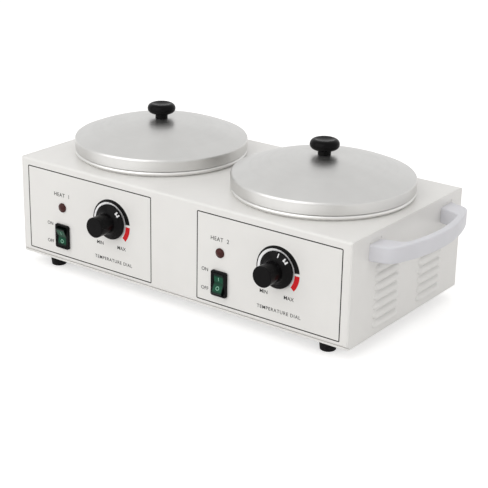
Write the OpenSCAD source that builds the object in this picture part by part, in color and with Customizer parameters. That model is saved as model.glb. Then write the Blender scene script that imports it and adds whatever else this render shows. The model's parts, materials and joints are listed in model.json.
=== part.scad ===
// Double wax warmer: a painted steel casing with two heated wells, lift-out pots and domed lids.
// Millimetres. +X to the right, +Y to the back, +Z up. The front panel faces -Y.
// The origin lies under the middle of the whole warmer, on the surface that the feet stand on.

/* [Casing] */
// Length over the two side panels
body_l = 333; // [324:1:370]
// Depth from the front panel to the back
body_d = 166; // [164:1:190]
// Height without the feet
body_h = 85; // [82:1:100]
// Thickness of the painted steel sheet
sheet_t = 1.2; // [0.8:0.1:1.6]
// Outer radius of the folds along the top
fold_r = 2; // [1.5:0.5:8]
// Outer radius of the folds along the bottom
lip_r = 2; // [1.8:0.1:3]
// Rounding of the four upright corners
corner_r = 1; // [1:0.5:3]
// Width of the flanges inside the casing
flange_w = 12; // [11:1:15]
// Thickness of the base plate
base_t = 1.5; // [1:0.1:2]

/* [Side louvres] */
// Height of the lowest louvre's opening above the casing's underside
louvre_z = 7.5; // [5:0.5:10]
// Distance between louvre rows
louvre_pitch = 7.6; // [7.2:0.1:8.2]
// Rows of louvres in a column
louvre_rows = 7; // [1:1:7]
// Length of a louvre with its rounded ends
louvre_l = 37; // [24:1:44]
// Height of a louvre
louvre_h = 5; // [3:0.5:5.5]
// How far a louvre stands out of the panel
louvre_out = 2.2; // [1.5:0.1:2.6]
// Distance between the middles of the two louvre columns
louvre_span = 66; // [56:1:80]
// How far the louvres sit behind the panel's middle
louvre_shift = 1.5; // [-2:0.5:4]
// Length of the grooves pressed in above the handle's posts
groove_l = 17; // [8:1:20]
// Width of those grooves
groove_w = 1.8; // [1:0.1:2.5]
// Depth of those grooves
groove_depth = 0.4; // [0.2:0.1:0.6]

/* [Wells and pots] */
// Distance between the middles of the two wells
well_pitch = 167; // [158:1:170]
// How far the wells lie behind the middle of the casing's depth
well_shift = 3.5; // [0:0.5:4]
// Outer radius of a pot's wall
pot_r = 60; // [52:1:61]
// Wall of a pot
pot_t = 1.2; // [0.8:0.1:1.5]
// Depth of a pot from its flange to its underside
pot_depth = 50; // [35:1:52]
// Rounding of a pot's lower edge, outside
pot_edge_r = 6; // [2:1:12]
// Height of a pot's flange above the casing's top
rim_h = 4.6; // [3.8:0.1:6]
// How far the flange's lip draws in towards the casing
rim_draw = 2; // [0:0.1:3]
// Rounding of the flange's outer edge
rim_edge_r = 1.8; // [1.6:0.1:2.5]
// Radius of the bead that keeps the lid in the middle
bead_r = 1.4; // [1:0.1:2]
// Wall of a heated well
well_t = 1.2; // [0.8:0.1:1.5]
// Width of a well's flange round its hole in the casing
well_flange_w = 6; // [5.4:0.1:6.6]

/* [Lids] */
// How far a lid, and the pot's flange below it, reach past the well's flange
lid_reach = 5.2; // [4.3:0.1:6.5]
// Sheet of a lid
lid_t = 1; // [0.8:0.1:1.3]
// Height of a lid's skirt up to its rounded edge
skirt_h = 10.1; // [7:0.1:14]
// Rise of a lid's dome above its edge
dome_h = 15.4; // [8:0.2:20]
// Rounding between the skirt and the dome
lid_edge_r = 2.4; // [1.5:0.1:4]
// Radius of a lid's knob
lid_knob_r = 12; // [9:0.5:16]
// Height of a lid's knob
lid_knob_h = 12.6; // [10:0.2:18]
// Radius of the knob's stem
lid_stem_r = 5.3; // [3.5:0.1:6]
// Height of the stem below the knob's cap
lid_stem_h = 4.2; // [3:0.2:6]

/* [Handle] */
// Height of the handle's grip
handle_h = 13.2; // [9:0.2:15]
// Height of the handle's underside above the casing's underside
handle_z = 64; // [62:0.5:65]
// Distance over the outer faces of the posts, at the panel
handle_root = 126; // [108:1:136]
// How far the handle sits behind the middle of the casing's depth
handle_shift = 3; // [-2:0.5:5]
// Width of a post at the panel
post_w = 17.8; // [12:0.2:20]
// How far a post's corner stands off the panel
post_out = 16.6; // [13:0.2:20]
// How far a post leans inwards over that distance
post_lean = 4.6; // [2:0.2:8]
// How far the middle of the bow stands off the panel
bow_out = 29.1; // [24:0.1:36]
// Thickness of the bow
bow_t = 6; // [4:0.2:8]
// Rounding where the bow's inner face meets a post
bow_fillet = 8; // [3:0.5:10]

/* [Controls] */
// How far a dial's axis lies to the right of its well's middle
dial_dx = 18.2; // [8:0.2:22]
// Height of the dial's axis above the casing's underside
dial_z = 49; // [46:0.5:54]
// Radius of the dial knob's skirt
knob_skirt_r = 15; // [13:0.1:18]
// Radius of the dial knob's grip
knob_grip_r = 8.5; // [7.5:0.1:10]
// Distance from the front panel to the dial knob's front face
knob_out = 21.3; // [18:0.1:26]
// Angle of the left knob's pointer, clockwise from the top
left_dial_angle = 48; // [0:1:120]
// Angle of the right knob's pointer, clockwise from the top
right_dial_angle = 44; // [0:1:120]
// How far the switch and the lamp lie to the left of their well's middle
switch_dx = 36.5; // [30:0.5:44]
// Height of the switch's middle above the casing's underside
switch_z = 23; // [20:0.5:25]
// Width of the switch's frame
bezel_w = 15; // [14:0.2:18]
// Height of the switch's frame
bezel_h = 21; // [20:0.2:24]
// How far the switch's frame stands off the panel
bezel_t = 2; // [1.2:0.1:2.5]
// Tilt of a rocker to either side
rocker_tilt = 10; // [6:1:12]
// Height of the lamp's middle above the casing's underside
lamp_z = 48.5; // [42:0.5:54]
// Radius of the lamp's collar
lamp_r = 4; // [3:0.1:5]

/* [Feet] */
// Height of a foot below the casing
foot_h = 11; // [7:0.5:16]
// Radius of a foot where it meets the base plate
foot_r = 7.5; // [6.4:0.1:10]
// How much a foot narrows towards the surface
foot_taper = 1.2; // [0:0.1:1.6]
// Distance from the casing's side to a foot's axis
foot_dx = 26.5; // [20:0.5:34]
// Distance from the casing's front or back to a foot's axis
foot_dy = 14.5; // [14:0.5:30]

/* [Power inlet] */
// Height of the inlet's middle above the casing's underside
inlet_z = 28; // [22:1:50]
// Width of the inlet's opening
inlet_w = 24.4; // [24:0.1:25]
// Height of the inlet's opening
inlet_h = 16.6; // [16:0.1:17]
// Depth of the inlet's opening
inlet_depth = 17; // [15:0.5:20]

/* [Hidden] */
$fn = 96;

// Clearances between pieces
touch = 0.05;
run_gap = 0.05;
hole_gap = 0.2;
sheet_gap = 0.15;
seat_gap = 0.3;
rocker_gap = 0.35;
pot_gap = 1;
floor_gap = 2;
edge_proud = 0.06;
nut_room = 0.6;
thermo_room = 7.1;

// How far a solid runs into its neighbour in a union, and a cut runs past a face
lap = 1;

// Side panels
louvre_skin = 0.9;
groove_rise = 0.5;
louvre_cut_low = 0.6;
post_mid_y = (handle_root - post_w) / 2;

// Height levels of the casing
base_z = foot_h;
wall_z = base_z + base_t;
top_z = base_z + body_h;

// Power inlet, whose flange and screws stand out of the back
inlet_flange_w = 48;
inlet_flange_h = 23;
inlet_flange_t = 3;
inlet_wall = 1.8;
inlet_back_t = 2;
inlet_screw_pitch = 40;
inlet_pin_w = 2;
inlet_pin_h = 4;
inlet_pin_short = 3;
inlet_tag_l = 8;
inlet_pins_at = [[-7, -1.6], [0, 2.4], [7, -1.6]];
inlet_middle_z = base_z + inlet_z;
inlet_body_w = inlet_w + 2 * inlet_wall;
inlet_body_h = inlet_h + 2 * inlet_wall;

// Screws, with the radius of the shank and the size of the head
foot_screw_r = 2;
foot_head_r = 3.6;
foot_head_h = 2.4;
foot_bore_h = 4.5;
foot_nut_r = 4;
foot_nut_h = 3.2;
base_screw_r = 1.6;
base_screw_l = 7;
base_head_r = 3;
screw_head_h = 1.6;
handle_screw_r = 2;
handle_head_r = 3.8;
handle_head_h = 2.4;
handle_screw_l = 11;
lid_screw_r = 2;
lid_screw_l = 7;
lid_head_r = 3.6;
lid_head_h = 2.2;

// The whole depth runs from the knobs' front faces to the heads of the inlet's screws
whole_d = knob_out + body_d + inlet_flange_t + screw_head_h + touch;
front_y = knob_out - whole_d / 2;
back_y = front_y + body_d;
mid_y = front_y + body_d / 2;
well_y = mid_y + well_shift;
handle_y = mid_y + handle_shift;
half_l = body_l / 2;

// The whole length runs from the left panel's louvres to the bow of the handle on the right panel
left_reach = half_l + louvre_out;
right_reach = half_l + touch + bow_out;
mid_x = (left_reach - right_reach) / 2;

inlet_face_y = back_y + inlet_flange_t;
inlet_inner_y = inlet_face_y - inlet_depth - inlet_back_t;
stations = [-well_pitch / 2, well_pitch / 2];

// Pots and wells
rim_top_z = top_z + rim_h;
pot_floor_z = rim_top_z - pot_depth;
well_in_r = pot_r + pot_gap;
well_r = well_in_r + well_t;
well_hole_r = well_r + 4 * hole_gap;
well_flange_r = well_hole_r + well_flange_w;
lid_r = well_flange_r + lid_reach;
well_floor_z = pot_floor_z - floor_gap - well_t;
rivet_count = 4;
rivet_turn = 45;
rivet_at_r = (well_hole_r + well_flange_r) / 2;
rivet_r = 1.2;
rivet_head_r = 2.2;
rivet_head_h = 1;

// Heating ring, pad and clamp plate below a well, held by the stud on the well's floor
heater_tube_r = 3.2;
heater_r = 38;
heater_open_angle = 36;
heater_sleeve_r = 4.2;
heater_sleeve_l = 10;
heater_pin_r = 1.2;
pad_r = 50;
pad_t = 5;
clamp_r = 46;
clamp_t = 1.5;
stud_r = 2.5;
stud_spare = 3;
nut_r = 4.6;
nut_h = 4;
ring_top_z = well_floor_z - touch;
ring_z = ring_top_z - heater_tube_r;
pad_top_z = ring_z - heater_tube_r - touch;
clamp_z = pad_top_z - pad_t - clamp_t;
heater_pin_x = round(100 * heater_r * sin(heater_open_angle / 2)) / 100;
heater_pin_y = round(100 * heater_r * cos(heater_open_angle / 2)) / 100;

// Flat tabs that wires push onto
tab_w = 6.3;
tab_t = 0.8;
tab_l = 7;

// Thermal cutout
cutout_r = 8;
cutout_h = 6;
cutout_dx = 20;
cutout_tab_dx = 4;
cutout_brim = 1;
cutout_tab_z = clamp_z - cutout_h - tab_l;

// Thermostat, shaft, capillary and bulb
thermo_w = 34;
thermo_d = body_d / 2 + well_shift - sheet_t - well_r - thermo_room;
thermo_h = 28;
thermo_corner_r = 2;
thermo_tab_dx = 11;
thermo_y = front_y + sheet_t + touch;
thermo_mid_y = thermo_y + thermo_d / 2;
thermo_tab_z = base_z + dial_z - thermo_h / 2 - tab_l;
bushing_r = 5;
bushing_l = 6;
bushing_nut_r = 8;
bushing_nut_h = 2.4;
shaft_r = 3;
shaft_flat = 0.8;
shaft_flat_l = 8;
shaft_cover = 4;
shaft_end_gap = 1;
bulb_r = 2;
bulb_l = 62;
bulb_drop = 0.3;
strap_l = 12;
strap_t = 1.2;
capillary_r = 0.8;
capillary_bend = 9;
bulb_z = clamp_z - bulb_r - bulb_drop;

// Dial knob, measured outwards from the front panel
knob_gap = 1.2;
knob_rim_t = 1.8;
knob_flare_h = 3.2;
knob_flare_w = 2.6;
knob_room_gap = 0.8;
knob_face_r = 1;
set_screw_r = 1.5;
set_screw_out = 12;

// Lid
lid_seat_z = rim_top_z + seat_gap;
lid_edge_z = lid_seat_z + skirt_h;
dome_inset = 1;
dome_base_r = lid_r - dome_inset;
dome_r = (pow(dome_base_r, 2) + pow(dome_h, 2)) / (2 * dome_h);
dome_middle_z = lid_edge_z + dome_h - dome_r;
lid_top_z = dome_middle_z + dome_r;
edge_middle_r = lid_r - lid_edge_r;
edge_middle_z = dome_middle_z + sqrt(pow(dome_r - lid_edge_r + edge_proud, 2) - pow(edge_middle_r, 2));
knob_dish = 1.1;

// Switch and rocker
switch_inset = 1.1;
switch_body_w = bezel_w - 2 * switch_inset;
switch_body_h = bezel_h - 2 * switch_inset;
switch_body_d = 15;
switch_room_d = 5.5;
bezel_corner_r = 1.6;
switch_tab_pitch = 6.5;
switch_tab_w = 4.8;
rocker_side = 2.7;
rocker_end = 2.1;
rocker_w = bezel_w - 2 * rocker_side;
rocker_half = bezel_h / 2 - rocker_end;
rocker_end_gap = 0.6;
rocker_middle = 1.4;
rocker_rise = 2.1;
rocker_back = 3.5;
pivot_r = 1.2;
pivot_l = 0.9;

// Lamp
lamp_collar_t = 1;
lamp_brim = 1.4;
lamp_lens_inset = 0.9;
lamp_shank_inset = 0.8;
lamp_lens_r = lamp_r - lamp_lens_inset;
lamp_shank_r = lamp_r - lamp_shank_inset;
lamp_shank_l = 4;
lamp_body_l = 18;
lamp_leg_dx = 1.4;
lamp_leg_l = 5;
lamp_leg_r = 0.6;

// Terminal block
poles = 3;
pole_pitch = 12;
block_ear = 7;
block_d = 22;
block_h = 16;
block_ear_h = 4;
block_behind = 22;
block_y = mid_y + block_behind;
block_w = poles * pole_pitch + 2 * block_ear;
block_screw_inset = 3.6;
block_screw_dx = block_w / 2 - block_screw_inset;
pole_z = wall_z + touch + block_h / 2;
pole_screw_r = 2.8;
pole_hole_r = 2.5;
pole_room_h = 4;
block_front_y = block_y - block_d / 2 - touch;
block_back_y = block_y + block_d / 2 + touch;
ground_before = 12;
ground_y = mid_y - ground_before;

// Wires run along the floor of the casing in three layers
wire_r = 0.9;
wire_bend = 1.5;
wire_side = 1;
lane_gap = 0.6;
lane_step = 2 * wire_r + lane_gap;
low_lane_z = wall_z + wire_r + lane_gap / 2;
middle_lane_z = low_lane_z + lane_step;
high_lane_z = middle_lane_z + lane_step;
heater_pin_z = middle_lane_z + wire_bend + lane_gap;
lane_apart = 3;
feed_lane_y = mid_y + lane_apart;
return_lane_y = mid_y + 2 * lane_apart;
lamp_lane_y = mid_y - lane_apart;
lamp_lane_dx = 6;
switch_tab_y = front_y + switch_body_d + tab_l + touch;
lamp_leg_y = front_y + lamp_body_l + lamp_leg_l + touch;
turn_room = 4;
turn_y = switch_tab_y + turn_room;

// A flat outline in Y and Z, drawn out along X
module along_x(x0, x1) {
  translate([x0, 0, 0]) rotate([90, 0, 90]) linear_extrude(x1 - x0) children();
}

// A flat outline in X and Z, drawn out along Y
module along_y(y0, y1) {
  translate([0, y1, 0]) rotate([90, 0, 0]) linear_extrude(y1 - y0) children();
}

// A flat outline in X and Y, drawn out along Z
module along_z(z0, z1) {
  translate([0, 0, z0]) linear_extrude(z1 - z0) children();
}

// A round rod or hole along X
module rod_x(r, x0, x1) {
  translate([x0, 0, 0]) rotate([0, 90, 0]) cylinder(r = r, h = x1 - x0);
}

// A round rod or hole along Y
module rod_y(r, y0, y1) {
  translate([0, y1, 0]) rotate([90, 0, 0]) cylinder(r = r, h = y1 - y0);
}

// A round rod or hole along Z
module rod_z(r, z0, z1) {
  translate([0, 0, z0]) cylinder(r = r, h = z1 - z0);
}

// A rectangle with rounded corners, about its middle
module rounded_rect(w, h, r) {
  square([w - 2 * r, h], center = true);
  square([w, h - 2 * r], center = true);
  for (i = [-1, 1]) {
    for (j = [-1, 1]) {
      translate([i * (w / 2 - r), j * (h / 2 - r)]) circle(r);
    }
  }
}

// The part of an outline to the right of the axis that it is turned about
module right_half() {
  reach = body_l;
  intersection() {
    children();
    translate([0, -reach]) square([reach, 2 * reach]);
  }
}

// A hexagonal nut standing on z = 0, with its size over the corners
module hex_nut(r, h, bore_r) {
  difference() {
    cylinder(r = r, h = h, $fn = 6);
    rod_z(bore_r, -lap, h + lap);
  }
}

// Moves a piece sideways, so that the origin lies under the middle of the whole warmer
module placed() {
  translate([mid_x, 0, 0]) children();
}

// The same piece at both wells
module at_stations() {
  for (x = stations) translate([x, well_y, 0]) children();
}

module at_feet() {
  for (x = [-1, 1]) {
    for (y = [-1, 1]) {
      translate([x * (half_l - foot_dx), mid_y + y * (body_d / 2 - foot_dy), 0]) children();
    }
  }
}

module at_base_screws() {
  inset = sheet_t + flange_w / 2;
  for (x = [-1, -1 / 3, 1 / 3, 1]) {
    for (y = [-1, 1]) {
      translate([x * (half_l - inset), mid_y + y * (body_d / 2 - inset), 0]) children();
    }
  }
}

// The middles of the handle's two posts, at the right side panel's outer face
module at_handle_screws() {
  z = base_z + handle_z + handle_h / 2;
  for (y = [-1, 1]) translate([half_l, handle_y + y * post_mid_y, z]) children();
}

module at_rivets() {
  for (i = [0 : rivet_count - 1]) {
    rotate([0, 0, rivet_turn + i * 360 / rivet_count]) translate([rivet_at_r, 0, 0]) children();
  }
}

module at_block_screws() {
  for (s = [-1, 1]) translate([s * block_screw_dx, block_y, 0]) children();
}

module at_ground_screw() {
  translate([pole_pitch, ground_y, 0]) children();
}

module at_inlet_screws() {
  for (s = [-1, 1]) translate([s * inlet_screw_pitch / 2, 0, inlet_middle_z]) children();
}

module at_dial(x) {
  translate([x + dial_dx, 0, base_z + dial_z]) children();
}

module at_switch(x) {
  translate([x - switch_dx, 0, base_z + switch_z]) children();
}

module at_lamp(x) {
  translate([x - switch_dx, 0, base_z + lamp_z]) children();
}

// The casing's outline seen from the side, drawn in from its outer faces
module side_outline(drawn_in) {
  least_r = 0.2;
  top_r = max(fold_r - drawn_in, least_r);
  low_r = max(lip_r - drawn_in, least_r);
  y0 = front_y + drawn_in;
  y1 = back_y - drawn_in;
  z0 = wall_z + drawn_in;
  z1 = top_z - drawn_in;
  translate([y0 + top_r, z0 + low_r]) square([y1 - y0 - 2 * top_r, z1 - z0 - low_r]);
  translate([y0, z0 + low_r]) square([y1 - y0, z1 - z0 - low_r - top_r]);
  translate([y0 + low_r, z0]) square([y1 - y0 - 2 * low_r, (z1 - z0) / 2]);
  for (y = [y0 + top_r, y1 - top_r]) translate([y, z1 - top_r]) circle(top_r);
  for (y = [y0 + low_r, y1 - low_r]) translate([y, z0 + low_r]) circle(low_r);
}

// The casing's outline seen from above, with its rounded upright corners
module plan_outline() {
  translate([0, mid_y]) rounded_rect(body_l, body_d, corner_r);
}

// Front, top and back of the casing, folded from one sheet, with inner flanges along the bottom
module cover() {
  end_x = half_l - sheet_t;
  y0 = back_y - 2 * sheet_t;
  y1 = back_y + sheet_t;
  color("ivory") difference() {
    intersection() {
      along_x(-end_x, end_x) difference() {
        side_outline(0);
        side_outline(sheet_t);
        translate([front_y + flange_w, base_z]) square([body_d - 2 * flange_w, body_h / 2]);
      }
      along_z(base_z, top_z + sheet_t) plan_outline();
    }
    at_stations() {
      rod_z(well_hole_r, top_z - 2 * fold_r, top_z + fold_r);
      at_rivets() rod_z(rivet_r + touch, top_z - 2 * sheet_t, top_z + sheet_t);
    }
    for (x = stations) front_holes(x);
    at_base_screws() rod_z(base_screw_r + touch, base_z, wall_z + flange_w / 2);
    at_feet() rod_z(foot_nut_r + nut_room, base_z, wall_z + flange_w / 2);
    translate([0, 0, inlet_middle_z]) along_y(y0, y1) {
      square([inlet_body_w + 2 * hole_gap, inlet_body_h + 2 * hole_gap], center = true);
    }
    at_inlet_screws() rod_y(base_screw_r + hole_gap, y0, y1);
  }
}

// Openings in the front panel for one station's controls
module front_holes(x) {
  y0 = front_y - sheet_t;
  y1 = front_y + 2 * sheet_t;
  at_dial(x) rod_y(bushing_r + hole_gap, y0, y1);
  at_lamp(x) rod_y(lamp_shank_r + hole_gap, y0, y1);
  switch_hole = [switch_body_w + 2 * hole_gap, switch_body_h + 2 * hole_gap];
  at_switch(x) along_y(y0, y1) square(switch_hole, center = true);
}

// Right side panel with louvres and a flange that fits inside the cover
module plain_side_panel() {
  inner_x = half_l - sheet_t;
  fit_in = sheet_t + sheet_gap;
  difference() {
    union() {
      intersection() {
        along_x(inner_x, half_l) side_outline(0);
        along_z(base_z, top_z + sheet_t) plan_outline();
      }
      along_x(half_l - flange_w, inner_x) difference() {
        side_outline(fit_in);
        side_outline(fit_in + sheet_t);
      }
      at_louvres() louvre_hood(0);
    }
    at_louvres() louvre_hood(louvre_skin);
    at_base_screws() rod_z(base_screw_r + hole_gap, base_z, wall_z + flange_w / 2);
  }
}

module at_louvres() {
  for (s = [-1, 1]) {
    for (i = [0 : louvre_rows - 1]) {
      y = mid_y + louvre_shift + s * louvre_span / 2;
      translate([half_l, y, base_z + louvre_z + i * louvre_pitch]) children();
    }
  }
}

// A hood pressed out of the panel and open at the bottom: the upper half of a bar with ball ends
// that is sunk into the panel. Drawn in, it is the hollow below the hood.
module louvre_hood(drawn_in) {
  sink = (pow(louvre_h, 2) - pow(louvre_out, 2)) / (2 * louvre_out);
  r = sink + louvre_out - drawn_in;
  half = louvre_l / 2 - louvre_h;
  hollow = drawn_in > 0;
  back_x = hollow ? -2 * sheet_t : -sheet_t / 2;
  low_z = hollow ? -louvre_cut_low : 0;
  intersection() {
    translate([-sink, 0, 0]) {
      rod_y(r, -half, half);
      for (y = [-half, half]) translate([0, y, 0]) sphere(r);
    }
    translate([back_x, -louvre_l, low_z]) cube([louvre_out - back_x + lap, 2 * louvre_l, 2 * louvre_h]);
  }
}

// The right panel also carries the handle, with a groove pressed in above each of its posts
module right_side_panel() {
  groove_z = base_z + handle_z + handle_h + groove_rise + groove_w / 2;
  color("linen") difference() {
    plain_side_panel();
    for (s = [-1, 1]) translate([half_l, handle_y + s * post_mid_y, groove_z]) {
      along_x(-groove_depth, lap) square([groove_l, groove_w], center = true);
    }
    at_handle_screws() rod_x(handle_screw_r + hole_gap, -2 * sheet_t, sheet_t);
  }
}

module left_side_panel() {
  color("linen") mirror([1, 0, 0]) plain_side_panel();
}

// Bottom of the casing, with air slots under both wells
module base_plate() {
  vent_count = 5;
  vent_pitch = 14;
  vent_l = 60;
  vent_w = 4;
  color("gainsboro") difference() {
    along_z(base_z, wall_z) plan_outline();
    at_feet() rod_z(foot_screw_r + hole_gap, 0, top_z);
    at_base_screws() rod_z(base_screw_r + hole_gap, 0, top_z);
    at_block_screws() rod_z(base_screw_r + touch, 0, top_z);
    at_ground_screw() rod_z(base_screw_r + touch, 0, top_z);
    at_stations() for (i = [0 : vent_count - 1]) {
      translate([(i - (vent_count - 1) / 2) * vent_pitch, 0, 0]) along_z(0, top_z) {
        square([vent_w, vent_l - vent_w], center = true);
        for (s = [-1, 1]) translate([0, s * (vent_l - vent_w) / 2]) circle(vent_w / 2);
      }
    }
  }
}

// Rubber foot with a sunk screw hole
module foot(side_x, side_y) {
  low_r = foot_r - foot_taper;
  chamfer = 0.4;
  bore_r = foot_head_r + 2 * hole_gap;
  hole_r = foot_screw_r + hole_gap;
  x = side_x * (half_l - foot_dx);
  y = mid_y + side_y * (body_d / 2 - foot_dy);
  color("black") translate([x, y, 0]) rotate_extrude() polygon([
    [bore_r, 0], [low_r - chamfer, 0], [low_r, chamfer], [foot_r, foot_h],
    [hole_r, foot_h], [hole_r, foot_bore_h], [bore_r, foot_bore_h]
  ]);
}

module front_left_foot() { foot(-1, -1); }
module front_right_foot() { foot(1, -1); }
module rear_left_foot() { foot(-1, 1); }
module rear_right_foot() { foot(1, 1); }

module foot_screws() {
  head_z = foot_bore_h - touch - foot_head_h;
  color("silver") at_feet() {
    rod_z(foot_head_r, head_z, head_z + foot_head_h);
    rod_z(foot_screw_r, head_z + lap, wall_z + foot_nut_h + lap);
  }
}

module foot_nuts() {
  color("silver") at_feet() translate([0, 0, wall_z + touch]) {
    hex_nut(foot_nut_r, foot_nut_h, foot_screw_r + touch);
  }
}

module base_screws() {
  color("silver") at_base_screws() {
    rod_z(base_head_r, base_z - screw_head_h - touch, base_z - touch);
    rod_z(base_screw_r, base_z - touch - lap, base_z + base_screw_l);
  }
}

// The handle's outline seen from above: x = 0 on the panel, y = 0 in the middle of its length
module handle_outline() {
  corner_y = handle_root / 2 - post_lean;
  bow_rise = bow_out - post_out;
  bow_r = (pow(corner_y, 2) + pow(bow_rise, 2)) / (2 * bow_rise);
  bow_x = bow_out - bow_r;
  gap_r = bow_r - bow_t;
  lean = atan2(post_lean, post_out);
  gap_half = handle_root / 2 - post_w;
  far_x = bow_out + lap;
  difference() {
    intersection() {
      polygon([
        [0, handle_root / 2], [post_out, corner_y], [far_x, corner_y],
        [far_x, -corner_y], [post_out, -corner_y], [0, -handle_root / 2]
      ]);
      translate([bow_x, 0]) circle(bow_r, $fn = 240);
    }
    difference() {
      intersection() {
        translate([bow_x, 0]) circle(gap_r, $fn = 240);
        polygon([
          [-lap, gap_half + lap * tan(lean)], [far_x, gap_half - far_x * tan(lean)],
          [far_x, -gap_half + far_x * tan(lean)], [-lap, -gap_half - lap * tan(lean)]
        ]);
      }
      for (s = [-1, 1]) scale([1, s]) gap_corner(bow_x, gap_r, gap_half, lean);
    }
  }
}

// What a fillet fills in the corner between the bow's inner face and a post's inner face. The
// fillet's middle lies its radius inside both faces, along the post's face and across it.
module gap_corner(bow_x, gap_r, gap_half, lean) {
  across = [sin(lean), cos(lean)];
  along = [cos(lean), -sin(lean)];
  reach = gap_r - bow_fillet;
  up = gap_half * cos(lean) - bow_fillet;
  out = along[0] * bow_x + sqrt(pow(reach, 2) - pow(up - across[0] * bow_x, 2));
  middle = across * up + along * out;
  bow_point = [bow_x, 0] + (middle - [bow_x, 0]) * gap_r / reach;
  difference() {
    polygon([middle, middle + across * bow_fillet, [bow_out + lap, gap_half], bow_point]);
    translate(middle) circle(bow_fillet);
  }
}

module right_handle() {
  color("lavender") difference() {
    translate([half_l + touch, handle_y, base_z + handle_z]) linear_extrude(handle_h) handle_outline();
    at_handle_screws() rod_x(handle_screw_r + touch, -lap, handle_screw_l + lap);
  }
}

module handle_screws() {
  head_x = -sheet_t - touch - handle_head_h;
  color("silver") at_handle_screws() {
    rod_x(handle_head_r, head_x, head_x + handle_head_h);
    rod_x(handle_screw_r, head_x + lap, handle_screw_l);
  }
}

// A cup in section, from its axis to its wall, with a rounded lower edge
module cup_outline(r, z0, z1, edge_r) {
  translate([0, z0]) square([r - edge_r, z1 - z0]);
  translate([0, z0 + edge_r]) square([r, z1 - z0 - edge_r]);
  translate([r - edge_r, z0 + edge_r]) circle(edge_r);
}

// Heated well: a spun cup hung in the casing's top by its flange, with a stud below its floor
module well(x) {
  in_edge_r = pot_edge_r + pot_gap;
  flange_top_z = top_z + well_t;
  color("lightgrey") translate([x, well_y, 0]) difference() {
    union() {
      rotate_extrude() right_half() difference() {
        union() {
          cup_outline(well_r, well_floor_z, flange_top_z, in_edge_r + well_t);
          translate([0, top_z + touch]) square([well_flange_r, well_t - touch]);
        }
        cup_outline(well_in_r, well_floor_z + well_t, flange_top_z + well_t, in_edge_r);
      }
      rod_z(stud_r, clamp_z - nut_h - stud_spare, well_floor_z + well_t / 2);
    }
    at_rivets() rod_z(rivet_r + touch, top_z - well_t, flange_top_z + well_t);
  }
}

module left_well() { well(stations[0]); }
module right_well() { well(stations[1]); }

module well_rivets() {
  flange_top_z = top_z + well_t;
  low_z = top_z - sheet_t - touch;
  color("silver") at_stations() at_rivets() {
    rod_z(rivet_head_r, flange_top_z + touch, flange_top_z + touch + rivet_head_h);
    rod_z(rivet_r, low_z - rivet_head_h / 2, flange_top_z + rivet_head_h / 2);
    rod_z(rivet_head_r, low_z - rivet_head_h, low_z);
  }
}

// The places of a heating ring's two ends, about the ring's axis
module at_heater_pins() {
  for (s = [-1, 1]) translate([s * heater_pin_x, heater_pin_y, 0]) children();
}

// Ring-shaped heating element with a sleeve and a pin at each of its two ends
module heater(x) {
  color("dimgray") translate([x, well_y, 0]) {
    translate([0, 0, ring_z]) rotate([0, 0, 90 + heater_open_angle / 2]) {
      rotate_extrude(angle = 360 - heater_open_angle) translate([heater_r, 0]) circle(heater_tube_r);
    }
    at_heater_pins() {
      rod_z(heater_sleeve_r, clamp_z - heater_sleeve_l, ring_z + heater_tube_r / 2);
      rod_z(heater_pin_r, heater_pin_z, clamp_z - heater_sleeve_l + lap);
    }
  }
}

// A quarter bend of a round bar at a corner, from one direction into another
module elbow(corner, came, goes, bend, r) {
  middle = corner + (goes - came) * bend;
  side = cross(came, goes);
  multmatrix([
    [-goes[0], came[0], side[0], middle[0]],
    [-goes[1], came[1], side[1], middle[1]],
    [-goes[2], came[2], side[2], middle[2]],
    [0, 0, 0, 1]
  ]) rotate_extrude(angle = 90) translate([bend, 0]) circle(r);
}

module left_heater() { heater(stations[0]); }
module right_heater() { heater(stations[1]); }

// Holes for the stud and the heater's ends
module under_well_holes() {
  rod_z(stud_r + hole_gap, wall_z, top_z);
  at_heater_pins() rod_z(heater_sleeve_r + hole_gap, wall_z, top_z);
}

// Mineral fibre pad between the heating ring and its clamp plate
module insulation_pad(x) {
  color("wheat") translate([x, well_y, 0]) difference() {
    rod_z(pad_r, pad_top_z - pad_t + touch, pad_top_z);
    under_well_holes();
  }
}

module left_insulation_pad() { insulation_pad(stations[0]); }
module right_insulation_pad() { insulation_pad(stations[1]); }

// Steel plate that the stud's nut draws up, with a strap for the thermostat's bulb
module heater_clamp(x) {
  strap_r = bulb_r + strap_t;
  strap_h = bulb_r + bulb_drop + clamp_t / 2;
  color("darkgray") translate([x, well_y, 0]) difference() {
    union() {
      rod_z(clamp_r, clamp_z, clamp_z + clamp_t);
      translate([dial_dx, 0, bulb_z]) {
        rod_y(strap_r, -strap_l / 2, strap_l / 2);
        translate([-strap_r, -strap_l / 2, 0]) cube([2 * strap_r, strap_l, strap_h]);
      }
    }
    under_well_holes();
    translate([dial_dx, 0, bulb_z]) rod_y(bulb_r + touch, -strap_l, strap_l);
  }
}

module left_heater_clamp() { heater_clamp(stations[0]); }
module right_heater_clamp() { heater_clamp(stations[1]); }

module clamp_nuts() {
  color("silver") at_stations() translate([0, 0, clamp_z - nut_h - touch]) {
    hex_nut(nut_r, nut_h, stud_r + touch);
  }
}

// Round overheat cutout under the clamp plate, with two tabs
module thermal_cutout(x) {
  color("saddlebrown") translate([x - cutout_dx, well_y, 0]) {
    rod_z(cutout_r, clamp_z - touch - cutout_brim, clamp_z - touch);
    rod_z(cutout_r - cutout_brim, clamp_z - cutout_h, clamp_z - touch);
    for (s = [-1, 1]) {
      translate([s * cutout_tab_dx - tab_t / 2, -tab_w / 2, cutout_tab_z]) {
        cube([tab_t, tab_w, tab_l + lap]);
      }
    }
  }
}

module left_thermal_cutout() { thermal_cutout(stations[0]); }
module right_thermal_cutout() { thermal_cutout(stations[1]); }

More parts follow.
